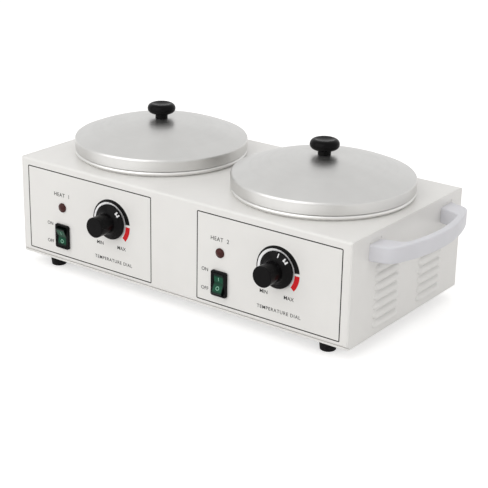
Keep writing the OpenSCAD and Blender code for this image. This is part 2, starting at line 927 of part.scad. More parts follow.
// Thermostat behind the front panel, with its threaded bushing through the panel
module thermostat(x) {
  color("dimgray") at_dial(x) difference() {
    union() {
      along_y(thermo_y, thermo_y + thermo_d) rounded_rect(thermo_w, thermo_h, thermo_corner_r);
      rod_y(bushing_r, thermo_y - bushing_l, thermo_y + lap);
      for (s = [-1, 1]) {
        translate([s * thermo_tab_dx - tab_t / 2, thermo_mid_y - tab_w / 2, -thermo_h / 2 - tab_l]) {
          cube([tab_t, tab_w, tab_l + lap]);
        }
      }
    }
    rod_y(shaft_r + run_gap, thermo_y - bushing_l - lap, thermo_mid_y);
  }
}

module left_thermostat() { thermostat(stations[0]); }
module right_thermostat() { thermostat(stations[1]); }

module thermostat_nuts() {
  color("silver") for (x = stations) at_dial(x) {
    translate([0, front_y - touch, 0]) rotate([90, 0, 0]) {
      hex_nut(bushing_nut_r, bushing_nut_h, bushing_r + touch);
    }
  }
}

// Thin tube from the thermostat down and back to the bulb that the clamp plate's strap holds
module capillary(x) {
  bend_y = thermo_mid_y + capillary_bend;
  bend_z = bulb_z + capillary_bend;
  bulb_y = well_y - bulb_l / 2;
  color("peru") translate([x + dial_dx, 0, 0]) {
    translate([0, thermo_mid_y, 0]) rod_z(capillary_r, bend_z, base_z + dial_z - thermo_h / 2 - touch);
    elbow([0, thermo_mid_y, bulb_z], [0, 0, -1], [0, 1, 0], capillary_bend, capillary_r);
    translate([0, 0, bulb_z]) {
      rod_y(capillary_r, bend_y, bulb_y + lap);
      rod_y(bulb_r, bulb_y, bulb_y + bulb_l);
    }
  }
}

module left_capillary() { capillary(stations[0]); }
module right_capillary() { capillary(stations[1]); }

// What turns with a dial: here z points out of the panel and y towards the pointer
module at_turned_dial(x, angle) {
  at_dial(x) translate([0, front_y, 0]) rotate([90, 0, 0]) rotate([0, 0, -angle]) children();
}

// Thermostat shaft with a flat at its outer end, turned by the knob
module thermostat_shaft(x, angle) {
  outer_end = knob_out - shaft_cover;
  inner_end = front_y - thermo_mid_y + shaft_end_gap;
  color("silver") at_turned_dial(x, angle) difference() {
    rod_z(shaft_r, inner_end, outer_end);
    translate([-shaft_r, -shaft_r - shaft_flat, outer_end - shaft_flat_l]) {
      cube([2 * shaft_r, 2 * shaft_flat, shaft_flat_l + lap]);
    }
  }
}

module left_thermostat_shaft() { thermostat_shaft(stations[0], left_dial_angle); }
module right_thermostat_shaft() { thermostat_shaft(stations[1], right_dial_angle); }

// The dial knob in section: x from its axis, y outwards from the panel
module knob_outline() {
  rim_out = knob_gap + knob_rim_t;
  flare_out = rim_out + knob_flare_h;
  face_r = knob_grip_r - knob_face_r;
  blunt = 0.5;
  polygon([
    [0, knob_gap], [knob_skirt_r - blunt, knob_gap], [knob_skirt_r, knob_gap + blunt],
    [knob_skirt_r, rim_out - blunt], [knob_skirt_r - blunt, rim_out],
    [knob_grip_r + knob_flare_w, rim_out + knob_flare_h / 3],
    [knob_grip_r + knob_flare_w / 3, rim_out + 2 * knob_flare_h / 3],
    [knob_grip_r, flare_out], [knob_grip_r, knob_out - knob_face_r],
    [face_r, knob_out - knob_face_r], [face_r, knob_out], [0, knob_out]
  ]);
  translate([face_r, knob_out - knob_face_r]) circle(knob_face_r);
}

// Dial knob: a grip on a round skirt, hollow behind for the bushing and its nut
module thermostat_knob(x, angle) {
  nut_room = bushing_nut_h + knob_room_gap;
  bushing_room = bushing_l - sheet_t + knob_room_gap;
  color("#181818") at_turned_dial(x, angle) difference() {
    rotate_extrude() right_half() difference() {
      knob_outline();
      square([shaft_r + run_gap, knob_out - shaft_cover + knob_room_gap]);
      square([bushing_nut_r + knob_room_gap, nut_room]);
      square([bushing_r + knob_room_gap, bushing_room]);
    }
    translate([0, 0, set_screw_out]) rotate([90, 0, 0]) {
      cylinder(r = set_screw_r + touch, h = 2 * knob_grip_r);
    }
  }
}

module left_thermostat_knob() { thermostat_knob(stations[0], left_dial_angle); }
module right_thermostat_knob() { thermostat_knob(stations[1], right_dial_angle); }

// Slotted screw in the knob's grip, opposite the pointer, that bears on the shaft's flat
module knob_set_screw(x, angle) {
  tip = shaft_r - shaft_flat + touch;
  head = knob_grip_r - knob_room_gap;
  slit_w = 0.5;
  slit_h = 0.8;
  color("goldenrod") at_turned_dial(x, angle) translate([0, 0, set_screw_out]) rotate([90, 0, 0]) {
    difference() {
      rod_z(set_screw_r, tip, head);
      translate([-slit_w / 2, -2 * set_screw_r, head - slit_h]) {
        cube([slit_w, 4 * set_screw_r, slit_h + lap]);
      }
    }
  }
}

module left_knob_set_screw() { knob_set_screw(stations[0], left_dial_angle); }
module right_knob_set_screw() { knob_set_screw(stations[1], right_dial_angle); }

// Switch: a frame on the panel and a box behind it, open in front for the rocker
module switch_body(x) {
  room_w = rocker_w + 2 * rocker_gap;
  room_h = 2 * (rocker_half + rocker_end_gap);
  back = front_y + switch_body_d;
  color("#202020") at_switch(x) difference() {
    union() {
      along_y(front_y - bezel_t, front_y - touch) rounded_rect(bezel_w, bezel_h, bezel_corner_r);
      along_y(front_y - bezel_t / 2, back) square([switch_body_w, switch_body_h], center = true);
      for (s = [-1, 0, 1]) translate([0, 0, s * switch_tab_pitch]) {
        along_y(back - lap, back + tab_l) square([switch_tab_w, tab_t], center = true);
      }
    }
    along_y(front_y - bezel_t - lap, front_y + switch_room_d) square([room_w, room_h], center = true);
    translate([0, front_y, 0]) rod_x(pivot_r + run_gap, -room_w / 2 - pivot_l, room_w / 2 + pivot_l);
  }
}

module left_switch_body() { switch_body(stations[0]); }
module right_switch_body() { switch_body(stations[1]); }

// Rocker seen from its side: x into the switch, y up, with a shallow V towards the front
module rocker_outline() {
  tip = rocker_middle + rocker_rise;
  blunt = 0.5;
  draw_in = 1;
  polygon([
    [-rocker_middle, 0], [-tip, rocker_half - blunt], [-tip + blunt, rocker_half],
    [rocker_back - draw_in, rocker_half - draw_in], [rocker_back, rocker_half - 3 * draw_in],
    [rocker_back, -rocker_half + 3 * draw_in], [rocker_back - draw_in, -rocker_half + draw_in],
    [-tip + blunt, -rocker_half], [-tip, -rocker_half + blunt]
  ]);
}

module rocker(x, tilt) {
  color("darkgreen") at_switch(x) translate([0, front_y, 0]) rotate([tilt, 0, 0]) {
    along_x(-rocker_w / 2, rocker_w / 2) rocker_outline();
    rod_x(pivot_r, -rocker_w / 2 - pivot_l, rocker_w / 2 + pivot_l);
  }
}

// The left switch is off, with its upper half out, and the right one is on
module left_rocker() { rocker(stations[0], rocker_tilt); }
module right_rocker() { rocker(stations[1], -rocker_tilt); }

// Lamp lens with its collar on the panel
module lamp_lens(x) {
  color("darkred") at_lamp(x) {
    rod_y(lamp_r, front_y - lamp_collar_t, front_y - touch);
    rod_y(lamp_lens_r, front_y - 2 * lamp_collar_t, front_y - lamp_collar_t / 2);
    rod_y(lamp_shank_r, front_y - lamp_collar_t / 2, front_y + lamp_shank_l);
  }
}

// Lamp behind the lens, with a collar on the panel's inner face and two legs
module lamp_body(x) {
  y0 = front_y + sheet_t + touch;
  y1 = front_y + lamp_body_l;
  color("#303030") at_lamp(x) {
    difference() {
      union() {
        rod_y(lamp_r + lamp_brim, y0, y0 + lamp_collar_t);
        rod_y(lamp_r, y0, y1);
      }
      rod_y(lamp_shank_r + touch, front_y, front_y + lamp_shank_l + touch);
    }
    for (s = [-1, 1]) translate([s * lamp_leg_dx, 0, 0]) rod_y(lamp_leg_r, y1 - lap, y1 + lamp_leg_l);
  }
}

module left_lamp_lens() { lamp_lens(stations[0]); }
module right_lamp_lens() { lamp_lens(stations[1]); }
module left_lamp_body() { lamp_body(stations[0]); }
module right_lamp_body() { lamp_body(stations[1]); }

// Power inlet in the back panel: a flange outside and a box inside, open for a connector
module power_inlet() {
  pin_hole = [inlet_pin_w + 2 * touch, inlet_pin_h + 2 * touch];
  color("#202020") difference() {
    translate([0, 0, inlet_middle_z]) difference() {
      union() {
        along_y(back_y + touch, inlet_face_y) rounded_rect(inlet_flange_w, inlet_flange_h, inlet_flange_t);
        along_y(inlet_inner_y, back_y + lap) square([inlet_body_w, inlet_body_h], center = true);
      }
      along_y(inlet_face_y - inlet_depth, inlet_face_y + lap) inlet_mouth();
      for (p = inlet_pins_at) translate([p[0], 0, p[1]]) {
        along_y(inlet_inner_y - lap, inlet_face_y) square(pin_hole, center = true);
      }
    }
    at_inlet_screws() rod_y(base_screw_r + hole_gap, back_y - lap, inlet_face_y + lap);
  }
}

// The opening's outline: a rectangle without its two upper corners
module inlet_mouth() {
  w = inlet_w / 2;
  h = inlet_h / 2;
  cut = 5;
  polygon([[-w, -h], [w, -h], [w, h - cut], [w - cut, h], [-w + cut, h], [-w, h - cut]]);
}

module inlet_pins() {
  color("gold") for (p = inlet_pins_at) translate([p[0], 0, inlet_middle_z + p[1]]) {
    along_y(inlet_inner_y - inlet_tag_l, inlet_face_y - inlet_pin_short) {
      square([inlet_pin_w, inlet_pin_h], center = true);
    }
  }
}

module inlet_screws() {
  color("silver") at_inlet_screws() {
    rod_y(base_head_r, inlet_face_y + touch, inlet_face_y + touch + screw_head_h);
    rod_y(base_screw_r, back_y - sheet_t - base_screw_l, inlet_face_y + touch + screw_head_h / 2);
  }
}

// The middles of the terminal block's poles
module at_poles() {
  for (i = [0 : poles - 1]) {
    translate([(i - (poles - 1) / 2) * pole_pitch, block_y, wall_z + touch]) children();
  }
}

// Ceramic terminal block on the base plate, between the wells
module terminal_block() {
  bar_w = poles * pole_pitch;
  color("whitesmoke") difference() {
    translate([0, block_y, wall_z + touch]) {
      translate([-block_w / 2, -block_d / 2, 0]) cube([block_w, block_d, block_ear_h]);
      translate([-bar_w / 2, -block_d / 2, 0]) cube([bar_w, block_d, block_h]);
    }
    at_poles() {
      rod_z(pole_screw_r + hole_gap, block_h - pole_room_h, block_h + lap);
      translate([0, 0, block_h / 2]) rod_y(pole_hole_r, -block_d, block_d);
    }
    at_block_screws() rod_z(base_screw_r + touch, base_z, pole_z);
  }
}

module terminal_screws() {
  ear_z = wall_z + touch + block_ear_h;
  color("silver") {
    at_poles() rod_z(pole_screw_r, block_h - pole_room_h + touch, block_h - pole_room_h / 2);
    at_block_screws() {
      rod_z(base_head_r, ear_z + touch, ear_z + touch + screw_head_h);
      rod_z(base_screw_r, base_z, ear_z + lap);
    }
    at_ground_screw() {
      rod_z(base_head_r, wall_z + touch, wall_z + touch + screw_head_h);
      rod_z(base_screw_r, base_z, wall_z + lap);
    }
  }
}

// A wire through a list of places, with flat ends and a bend at each of its square corners
module wire(places) {
  last = len(places) - 1;
  for (i = [0 : last - 1]) {
    from = places[i];
    to = places[i + 1];
    way = (to - from) / norm(to - from);
    start = i > 0 ? from + way * wire_bend : from;
    end = i < last - 1 ? to - way * wire_bend : to;
    turn = [0, acos(way[2]), atan2(way[1], way[0])];
    translate(start) rotate(turn) cylinder(r = wire_r, h = norm(end - start));
    if (i > 0) {
      came = (from - places[i - 1]) / norm(from - places[i - 1]);
      elbow(from, came, way, wire_bend, wire_r);
    }
  }
}

// Wires from the inlet to the terminal block and from there to both stations
module wiring() {
  color("firebrick") {
    inlet_wires();
    ground_wire();
    for (x = stations) {
      switch_feed(x);
      switch_to_thermostat(x);
      thermostat_to_cutout(x);
      cutout_to_heater(x);
      heater_return(x);
      lamp_to_switch(x);
      lamp_return(x);
    }
  }
}

module inlet_wires() {
  pin_y = inlet_inner_y - inlet_tag_l - touch;
  down_y = (pin_y + block_back_y) / 2;
  for (i = [0 : len(inlet_pins_at) - 1]) {
    p = inlet_pins_at[i];
    z = inlet_middle_z + p[1];
    x = (i - 1) * pole_pitch;
    first = [[p[0], pin_y, z], [p[0], down_y, z]];
    across = x == p[0] ? [] : [[x, down_y, z]];
    wire(concat(first, across, [[x, down_y, pole_z], [x, block_back_y, pole_z]]));
  }
}

module ground_wire() {
  x = pole_pitch;
  end_z = wall_z + screw_head_h + 2 * touch;
  wire([[x, block_front_y, pole_z], [x, ground_y, pole_z], [x, ground_y, end_z]]);
}

// From the live pole to the switch's lowest tab
module switch_feed(x) {
  lane_y = feed_lane_y;
  px = -pole_pitch + sign(x) * wire_side;
  sx = x - switch_dx;
  tab_z = base_z + switch_z - switch_tab_pitch;
  wire([
    [px, block_front_y, pole_z], [px, lane_y, pole_z], [px, lane_y, low_lane_z], [sx, lane_y, low_lane_z],
    [sx, turn_y, low_lane_z], [sx, turn_y, tab_z], [sx, switch_tab_y, tab_z]
  ]);
}

module switch_to_thermostat(x) {
  sx = x - switch_dx;
  tx = x + dial_dx - thermo_tab_dx;
  z = base_z + switch_z;
  wire([
    [sx, switch_tab_y, z], [sx, turn_y, z], [tx, turn_y, z],
    [tx, thermo_mid_y, z], [tx, thermo_mid_y, thermo_tab_z - touch]
  ]);
}

module thermostat_to_cutout(x) {
  tx = x + dial_dx + thermo_tab_dx;
  cx = x - cutout_dx + cutout_tab_dx;
  z = middle_lane_z;
  wire([
    [tx, thermo_mid_y, thermo_tab_z - touch], [tx, thermo_mid_y, z], [tx, well_y, z],
    [cx, well_y, z], [cx, well_y, cutout_tab_z - touch]
  ]);
}

module cutout_to_heater(x) {
  cx = x - cutout_dx - cutout_tab_dx;
  hx = x - heater_pin_x;
  hy = well_y + heater_pin_y;
  z = middle_lane_z;
  wire([
    [cx, well_y, cutout_tab_z - touch], [cx, well_y, z], [cx, hy, z],
    [hx, hy, z], [hx, hy, heater_pin_z - touch]
  ]);
}

// From the heater's other end to the neutral pole
module heater_return(x) {
  lane_y = return_lane_y;
  px = sign(x) * wire_side;
  hx = x + heater_pin_x;
  hy = well_y + heater_pin_y;
  z = pole_z - wire_side;
  wire([
    [hx, hy, heater_pin_z - touch], [hx, hy, low_lane_z], [hx, lane_y, low_lane_z],
    [px, lane_y, low_lane_z], [px, lane_y, z], [px, block_front_y, z]
  ]);
}

module lamp_to_switch(x) {
  lx = x - switch_dx + lamp_leg_dx;
  leg_z = base_z + lamp_z;
  tab_z = base_z + switch_z + switch_tab_pitch;
  wire([[lx, lamp_leg_y, leg_z], [lx, turn_y, leg_z], [lx, turn_y, tab_z], [lx, switch_tab_y, tab_z]]);
}

// From the lamp's other leg to the neutral pole
module lamp_return(x) {
  lane_y = lamp_lane_y;
  px = sign(x) * wire_side;
  lx = x - switch_dx - lamp_leg_dx;
  down_x = lx - lamp_lane_dx;
  leg_z = base_z + lamp_z;
  z = pole_z + wire_side;
  wire([
    [lx, lamp_leg_y, leg_z], [lx, turn_y, leg_z], [down_x, turn_y, leg_z], [down_x, turn_y, high_lane_z],
    [down_x, lane_y, high_lane_z], [px, lane_y, high_lane_z], [px, lane_y, z], [px, block_front_y, z]
  ]);
}

// The pot's flange with its turned-down lip, in section and drawn in from its outer faces. The lip
// leans in towards the casing and stays clear of the well's flange.
module rim_outline(drawn_in) {
  r = lid_r - drawn_in;
  edge_r = rim_edge_r - drawn_in;
  in_r = pot_r - pot_t;
  top = rim_top_z - drawn_in;
  bend_z = top - edge_r;
  low = top_z + seat_gap - drawn_in;
  low_r = lid_r - rim_draw - drawn_in;
  translate([in_r, bend_z - lap / 2]) square([r - edge_r - in_r, edge_r + lap / 2]);
  polygon([[in_r, low], [low_r, low], [r, bend_z], [in_r, bend_z]]);
  translate([r - edge_r, bend_z]) circle(edge_r);
}

// Lift-out pot: a spun cup with a flange, a lip that rests on the casing and a bead for the lid
module pot(x) {
  bead_at_r = lid_r - edge_proud - lid_t - seat_gap - bead_r;
  color("lightgray") translate([x, well_y, 0]) rotate_extrude() {
    right_half() difference() {
      cup_outline(pot_r, pot_floor_z, rim_top_z, pot_edge_r);
      cup_outline(pot_r - pot_t, pot_floor_z + pot_t, rim_top_z + lap, pot_edge_r - pot_t);
    }
    difference() {
      rim_outline(0);
      rim_outline(pot_t);
    }
    intersection() {
      translate([bead_at_r, rim_top_z]) circle(bead_r);
      translate([bead_at_r - bead_r, rim_top_z - pot_t / 2]) square([2 * bead_r, 2 * bead_r]);
    }
  }
}

module left_pot() { pot(stations[0]); }
module right_pot() { pot(stations[1]); }

// A lid's outline in section, drawn in from its outer faces: skirt, rounded edge and dome. The
// edge's circle stands a little proud of the skirt and the dome, as a spun edge does.
module lid_outline(drawn_in) {
  r = dome_r - drawn_in;
  meet_r = edge_middle_r * r / (dome_r - lid_edge_r);
  low = lid_seat_z - drawn_in;
  intersection() {
    translate([0, dome_middle_z]) circle(r, $fn = 360);
    translate([0, edge_middle_z - lap]) square([meet_r, 2 * dome_h]);
  }
  translate([edge_middle_r, edge_middle_z]) circle(lid_edge_r - drawn_in);
  translate([0, low]) square([lid_r - edge_proud - drawn_in, edge_middle_z - low]);
}

module lid(x) {
  color("lightgray") translate([x, well_y, 0]) difference() {
    rotate_extrude() difference() {
      lid_outline(0);
      lid_outline(lid_t);
    }
    rod_z(lid_screw_r + hole_gap, lid_top_z - 2 * lid_t, lid_top_z + lid_t);
  }
}

module left_lid() { lid(stations[0]); }
module right_lid() { lid(stations[1]); }

// A lid's knob in section: a stem and a cap with a round edge and a dished top
module lid_knob_outline() {
  edge_r = (lid_knob_h - lid_stem_h) / 2;
  edge_x = lid_knob_r - edge_r;
  dish_r = (pow(edge_x, 2) + pow(knob_dish, 2)) / (2 * knob_dish);
  difference() {
    union() {
      square([lid_stem_r, lid_stem_h + edge_r]);
      translate([0, lid_stem_h]) square([edge_x, 2 * edge_r]);
      translate([edge_x, lid_stem_h + edge_r]) circle(edge_r);
    }
    translate([0, lid_knob_h - knob_dish + dish_r]) circle(dish_r);
    translate([0, -lap]) square([lid_screw_r + touch, lid_screw_l + 1.5 * lap]);
  }
}

module lid_knob(x) {
  color("#202020") translate([x, well_y, lid_top_z + touch]) {
    rotate_extrude() right_half() lid_knob_outline();
  }
}

module left_lid_knob() { lid_knob(stations[0]); }
module right_lid_knob() { lid_knob(stations[1]); }

// Screw from inside the lid into its knob
module lid_screw(x) {
  head_z = lid_top_z - lid_t - 2 * touch;
  color("silver") translate([x, well_y, 0]) {
    rod_z(lid_head_r, head_z - lid_head_h, head_z);
    rod_z(lid_screw_r, head_z - lap, lid_top_z + lid_screw_l);
  }
}

module left_lid_screw() { lid_screw(stations[0]); }
module right_lid_screw() { lid_screw(stations[1]); }

placed() cover();
placed() left_side_panel();
placed() right_side_panel();
placed() base_plate();
placed() front_left_foot();
placed() front_right_foot();
placed() rear_left_foot();
placed() rear_right_foot();
placed() foot_screws();
placed() foot_nuts();
placed() base_screws();
placed() right_handle();
placed() handle_screws();
placed() left_well();
placed() right_well();
placed() well_rivets();
placed() left_heater();
placed() right_heater();
placed() left_insulation_pad();
placed() right_insulation_pad();
placed() left_heater_clamp();
placed() right_heater_clamp();
placed() clamp_nuts();
placed() left_thermal_cutout();
placed() right_thermal_cutout();
placed() left_thermostat();
placed() right_thermostat();
placed() thermostat_nuts();
placed() left_capillary();
placed() right_capillary();
placed() left_switch_body();
placed() right_switch_body();
placed() left_lamp_lens();
placed() right_lamp_lens();
placed() left_lamp_body();
placed() right_lamp_body();
placed() power_inlet();
placed() inlet_pins();
placed() inlet_screws();
placed() terminal_block();
placed() terminal_screws();
placed() wiring();
placed() left_pot();
placed() right_pot();
placed() left_lid();
placed() right_lid();
placed() left_lid_knob();
placed() right_lid_knob();
placed() left_lid_screw();
placed() right_lid_screw();
placed() left_thermostat_shaft();
placed() right_thermostat_shaft();
placed() left_thermostat_knob();
placed() right_thermostat_knob();
placed() left_knob_set_screw();
placed() right_knob_set_screw();
placed() left_rocker();
placed() right_rocker();
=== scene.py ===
"""Looks of the double wax warmer: materials, printed marks, moulded trim and the studio."""
import json
import math

import bmesh
import bpy
from mathutils import Matrix, Vector


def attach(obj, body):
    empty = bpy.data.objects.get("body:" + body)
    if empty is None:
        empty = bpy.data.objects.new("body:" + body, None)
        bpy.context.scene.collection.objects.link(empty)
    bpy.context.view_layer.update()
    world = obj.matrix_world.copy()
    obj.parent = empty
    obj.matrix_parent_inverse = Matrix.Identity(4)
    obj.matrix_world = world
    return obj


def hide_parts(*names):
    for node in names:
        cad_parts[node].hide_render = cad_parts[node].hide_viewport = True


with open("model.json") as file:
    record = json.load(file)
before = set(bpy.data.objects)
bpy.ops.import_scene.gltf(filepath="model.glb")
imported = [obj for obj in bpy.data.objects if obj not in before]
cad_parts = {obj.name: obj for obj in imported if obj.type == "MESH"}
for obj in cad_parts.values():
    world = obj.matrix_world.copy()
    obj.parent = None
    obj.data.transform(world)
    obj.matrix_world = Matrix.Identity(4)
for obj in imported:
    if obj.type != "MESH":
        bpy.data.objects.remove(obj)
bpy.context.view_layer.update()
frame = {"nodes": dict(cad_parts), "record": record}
nodes = frame["nodes"]
MM = 0.001

# Places in millimetres, in the model's own frame
FRONT_Y = -74.675
WELL_Y = 11.825
HANDLE_Y = 11.325
BASE_Z = 11.0
MID_X = -13.475
PANEL_X = MID_X + 166.5
STATIONS = {"left": MID_X - 83.5, "right": MID_X + 83.5}
DIAL_DX, DIAL_Z = 18.2, BASE_Z + 49
SWITCH_DX, SWITCH_Z = -36.5, BASE_Z + 23
LAMP_Z = BASE_Z + 48.5
TOP_Z = BASE_Z + 85
RIM_TOP_Z = TOP_Z + 4.6
LID_R, LIP_R = 74.2, 72.2
HANDLE_Z = (BASE_Z + 64.0, BASE_Z + 77.2)

# Where the dials and the rockers stand at rest, in degrees
DIAL_ANGLE = {"left": 48.0, "right": 44.0}
ROCKER_TILT = {"left": 10.0, "right": -10.0}

# Print on the front panel, in millimetres, and the scale's angles in degrees clockwise from the top
PRINT = 0.05
BOLDER = 0.02
FRAME_X = {"left": (MID_X - 158.5, MID_X - 23.1), "right": (MID_X + 24.4, MID_X + 158.4)}
FRAME_Z = (BASE_Z + 5.3, BASE_Z + 78.5)
FRAME_LINE, FRAME_CORNER = 0.85, 0.8
SCALE_Z = DIAL_Z - 1.4
SCALE_START, SCALE_END = -125.0, 131.0
BLACK_END, RED_START = 84.0, 90.5

# A knob's skirt and flare: radii, and how far they stand off the panel
SKIRT_PROFILE = [(15.0, 2.5), (14.5, 3.0), (11.1, 4.067), (9.367, 5.133), (8.5, 6.2)]

# A rocker's face: how far its middle stands off the panel, and how far each half rises over its length
ROCKER_OUT = 1.4
ROCKER_RISE, ROCKER_HALF = 2.1, 7.9

# Light levels
WORLD_LEVEL = 0.58
FLOOR_LIFT = 0.53
KEY_WATTS = 17.0
TOP_WATTS = 4.0
SIDE_WATTS = 3.0

# The photograph's lens and frame
PHOTO_PX = 488
FOCAL_PX = 1364.52
SENSOR_MM = 36.0


# Node materials

class Graph:
    """A node material that is built up from its Principled shader."""

    def __init__(self, name):
        self.material = bpy.data.materials.new(name)
        self.material.use_nodes = True
        self.tree = self.material.node_tree
        self.shader = self.tree.nodes["Principled BSDF"]
        self.place = self.add("ShaderNodeTexCoord").outputs["Object"]

    def add(self, kind, **values):
        node = self.tree.nodes.new(kind)
        for key, value in values.items():
            setattr(node, key, value)
        return node

    def link(self, source, target):
        self.tree.links.new(source, target)

    def math(self, operation, first, second=None):
        node = self.add("ShaderNodeMath", operation=operation)
        for socket, value in zip(node.inputs, (first, second)):
            if value is None:
                continue
            if isinstance(value, (int, float)):
                socket.default_value = value
            else:
                self.link(value, socket)
        return node.outputs[0]

    def noise(self, scale, detail=2.0, place=None, dimensions="3D", stretch=None):
        """Noise over the object's own place, or along one line where the dimensions are 1D."""
        node = self.add("ShaderNodeTexNoise", noise_dimensions=dimensions)
        node.inputs["Scale"].default_value = scale
        node.inputs["Detail"].default_value = detail
        source = place if place is not None else self.place
        if dimensions == "1D":
            self.link(source, node.inputs["W"])
        elif stretch:
            mapping = self.add("ShaderNodeMapping")
            mapping.inputs["Scale"].default_value = stretch
            self.link(source, mapping.inputs["Vector"])
            self.link(mapping.outputs["Vector"], node.inputs["Vector"])
        else:
            self.link(source, node.inputs["Vector"])
        return node.outputs["Fac"]

    def ramp(self, value, low, high, start=0.3, end=0.7):
        """A value that runs from low to high while the given one runs from start to end."""
        node = self.add("ShaderNodeMapRange")
        self.link(value, node.inputs["Value"])
        node.inputs["From Min"].default_value = start
        node.inputs["From Max"].default_value = end
        node.inputs["To Min"].default_value = low
        node.inputs["To Max"].default_value = high
        return node.outputs["Result"]

    def blend(self, factor, first, second):
        """A colour between two, each of which is a colour or a socket."""
        node = self.add("ShaderNodeMix", data_type="RGBA")
        for name, value in (("A", first), ("B", second)):
            socket = [s for s in node.inputs if s.name == name and s.type == "RGBA"][0]
            if isinstance(value, (tuple, list)):
                socket.default_value = (*value, 1.0)
            else:
                self.link(value, socket)
        self.link(factor, node.inputs["Factor"])
        return [s for s in node.outputs if s.type == "RGBA"][0]

    def rounded(self, radius):
        """Normals that soften edges over a radius."""
        node = self.add("ShaderNodeBevel", samples=6)
        node.inputs["Radius"].default_value = radius
        return node.outputs["Normal"]

    def edges(self, rounded_normal):
        """From 0 on faces to 1 on edges, for wear and settled dust."""
        geometry = self.add("ShaderNodeNewGeometry")
        dot = self.add("ShaderNodeVectorMath", operation="DOT_PRODUCT")
        self.link(rounded_normal, dot.inputs[0])
        self.link(geometry.outputs["Normal"], dot.inputs[1])
        return self.ramp(dot.outputs["Value"], 1.0, 0.0, 0.8, 0.995)

    def bump(self, height, strength, distance, normal):
        """Normals with a fine relief on top of the given ones."""
        node = self.add("ShaderNodeBump")
        node.inputs["Strength"].default_value = strength
        node.inputs["Distance"].default_value = distance
        self.link(height, node.inputs["Height"])
        self.link(normal, node.inputs["Normal"])
        return node.outputs["Normal"]

    def set(self, **values):
        for key, value in values.items():
            self.shader.inputs[key.replace("_", " ")].default_value = value


def tint(color, share):
    return tuple(min(1.0, c * share) for c in color)


def surface(name, color, rough, metallic=0.0, spread=0.05, shade=0.03, grain=900.0, bump=0.15,
            depth=0.00004, edge=0.0003, wear=1.0, stretch=None, **sockets):
    """A surface with cloudy colour and roughness, a fine grain, soft edges and edge wear."""
    g = Graph(name)
    cloud = g.noise(45.0, 3.0)
    fine = g.noise(grain, 3.0, stretch=stretch)
    soft = g.rounded(edge)
    base = g.blend(g.ramp(cloud, 0.0, 1.0), tint(color, 1 - shade), tint(color, 1 + shade))
    if wear != 1.0:
        patchy = g.ramp(g.noise(260.0, 4.0), 0.0, 1.0)
        worn = g.math("MULTIPLY", g.edges(soft), patchy)
        base = g.blend(worn, base, tint(color, wear))
    g.link(base, g.shader.inputs["Base Color"])
    g.link(g.ramp(g.noise(70.0, 3.0), rough - spread, rough + spread), g.shader.inputs["Roughness"])
    g.link(g.bump(fine, bump, depth, soft), g.shader.inputs["Normal"])
    g.set(Metallic=metallic, **sockets)
    return g.material


def from_station(g, offset):
    """The distance along X to the nearer of the two places at an offset from the wells' middles."""
    split = g.add("ShaderNodeSeparateXYZ")
    g.link(g.place, split.inputs[0])
    apart = []
    for x in STATIONS.values():
        apart.append(g.math("ABSOLUTE", g.math("SUBTRACT", split.outputs["X"], (x + offset) * MM)))
    return g.math("MINIMUM", *apart), split


def spun_aluminium(name, color, rough):
    """Satin aluminium with the fine rings that spinning leaves round both wells' axes."""
    g = Graph(name)
    x, split = from_station(g, 0.0)
    y = g.math("SUBTRACT", split.outputs["Y"], WELL_Y * MM)
    radius = g.math("SQRT", g.math("ADD", g.math("MULTIPLY", x, x), g.math("MULTIPLY", y, y)))
    # the rings run round the dome by radius and round the skirt by height
    along = g.math("SUBTRACT", radius, split.outputs["Z"])
    rings = g.noise(3200.0, 2.0, place=along, dimensions="1D")
    bands = g.noise(160.0, 3.0, place=along, dimensions="1D")
    cloud = g.noise(38.0, 3.0)
    soft = g.rounded(0.0004)
    base = g.blend(g.ramp(cloud, 0.0, 1.0), tint(color, 0.97), tint(color, 1.02))
    g.link(base, g.shader.inputs["Base Color"])
    banded = g.ramp(bands, rough - 0.03, rough + 0.03)
    patchy = g.ramp(g.noise(90.0, 4.0), -0.03, 0.03)
    g.link(g.math("ADD", banded, patchy), g.shader.inputs["Roughness"])
    g.link(g.bump(rings, 0.10, 0.00002, soft), g.shader.inputs["Normal"])
    tangent = g.add("ShaderNodeTangent", direction_type="RADIAL", axis="Z")
    g.link(tangent.outputs["Tangent"], g.shader.inputs["Tangent"])
    g.set(Metallic=1.0, Anisotropic=0.3, Anisotropic_Rotation=0.25)
    return g.material


def lit_rocker(name, color, dark):
    """Dark glossy plastic with a green window on the face of each rocker, darker towards the crease
    between its halves as painted shade.
    """
    g = Graph(name)
    across, split = from_station(g, SWITCH_DX)
    along = g.math("ABSOLUTE", g.math("SUBTRACT", split.outputs["Z"], SWITCH_Z * MM))
    sides = g.ramp(across, 1.0, 0.0, 0.0037, 0.0048)
    ends = g.ramp(along, 1.0, 0.0, 0.0052, 0.0072)
    window = g.math("MULTIPLY", sides, ends)
    # painted shade: the window darkens towards the crease where the rocker's two halves meet
    window = g.math("MULTIPLY", window, g.ramp(along, 0.45, 1.0, 0.0, 0.0022))
    window = g.math("MULTIPLY", window, g.ramp(g.noise(700.0, 2.0), 0.75, 1.0))
    g.link(g.blend(window, dark, color), g.shader.inputs["Base Color"])
    g.link(g.ramp(g.noise(300.0, 2.0), 0.16, 0.24), g.shader.inputs["Roughness"])
    g.link(g.bump(g.noise(900.0, 3.0), 0.04, 0.00004, g.rounded(0.0003)), g.shader.inputs["Normal"])
    g.set(Specular_IOR_Level=0.12)
    return g.material


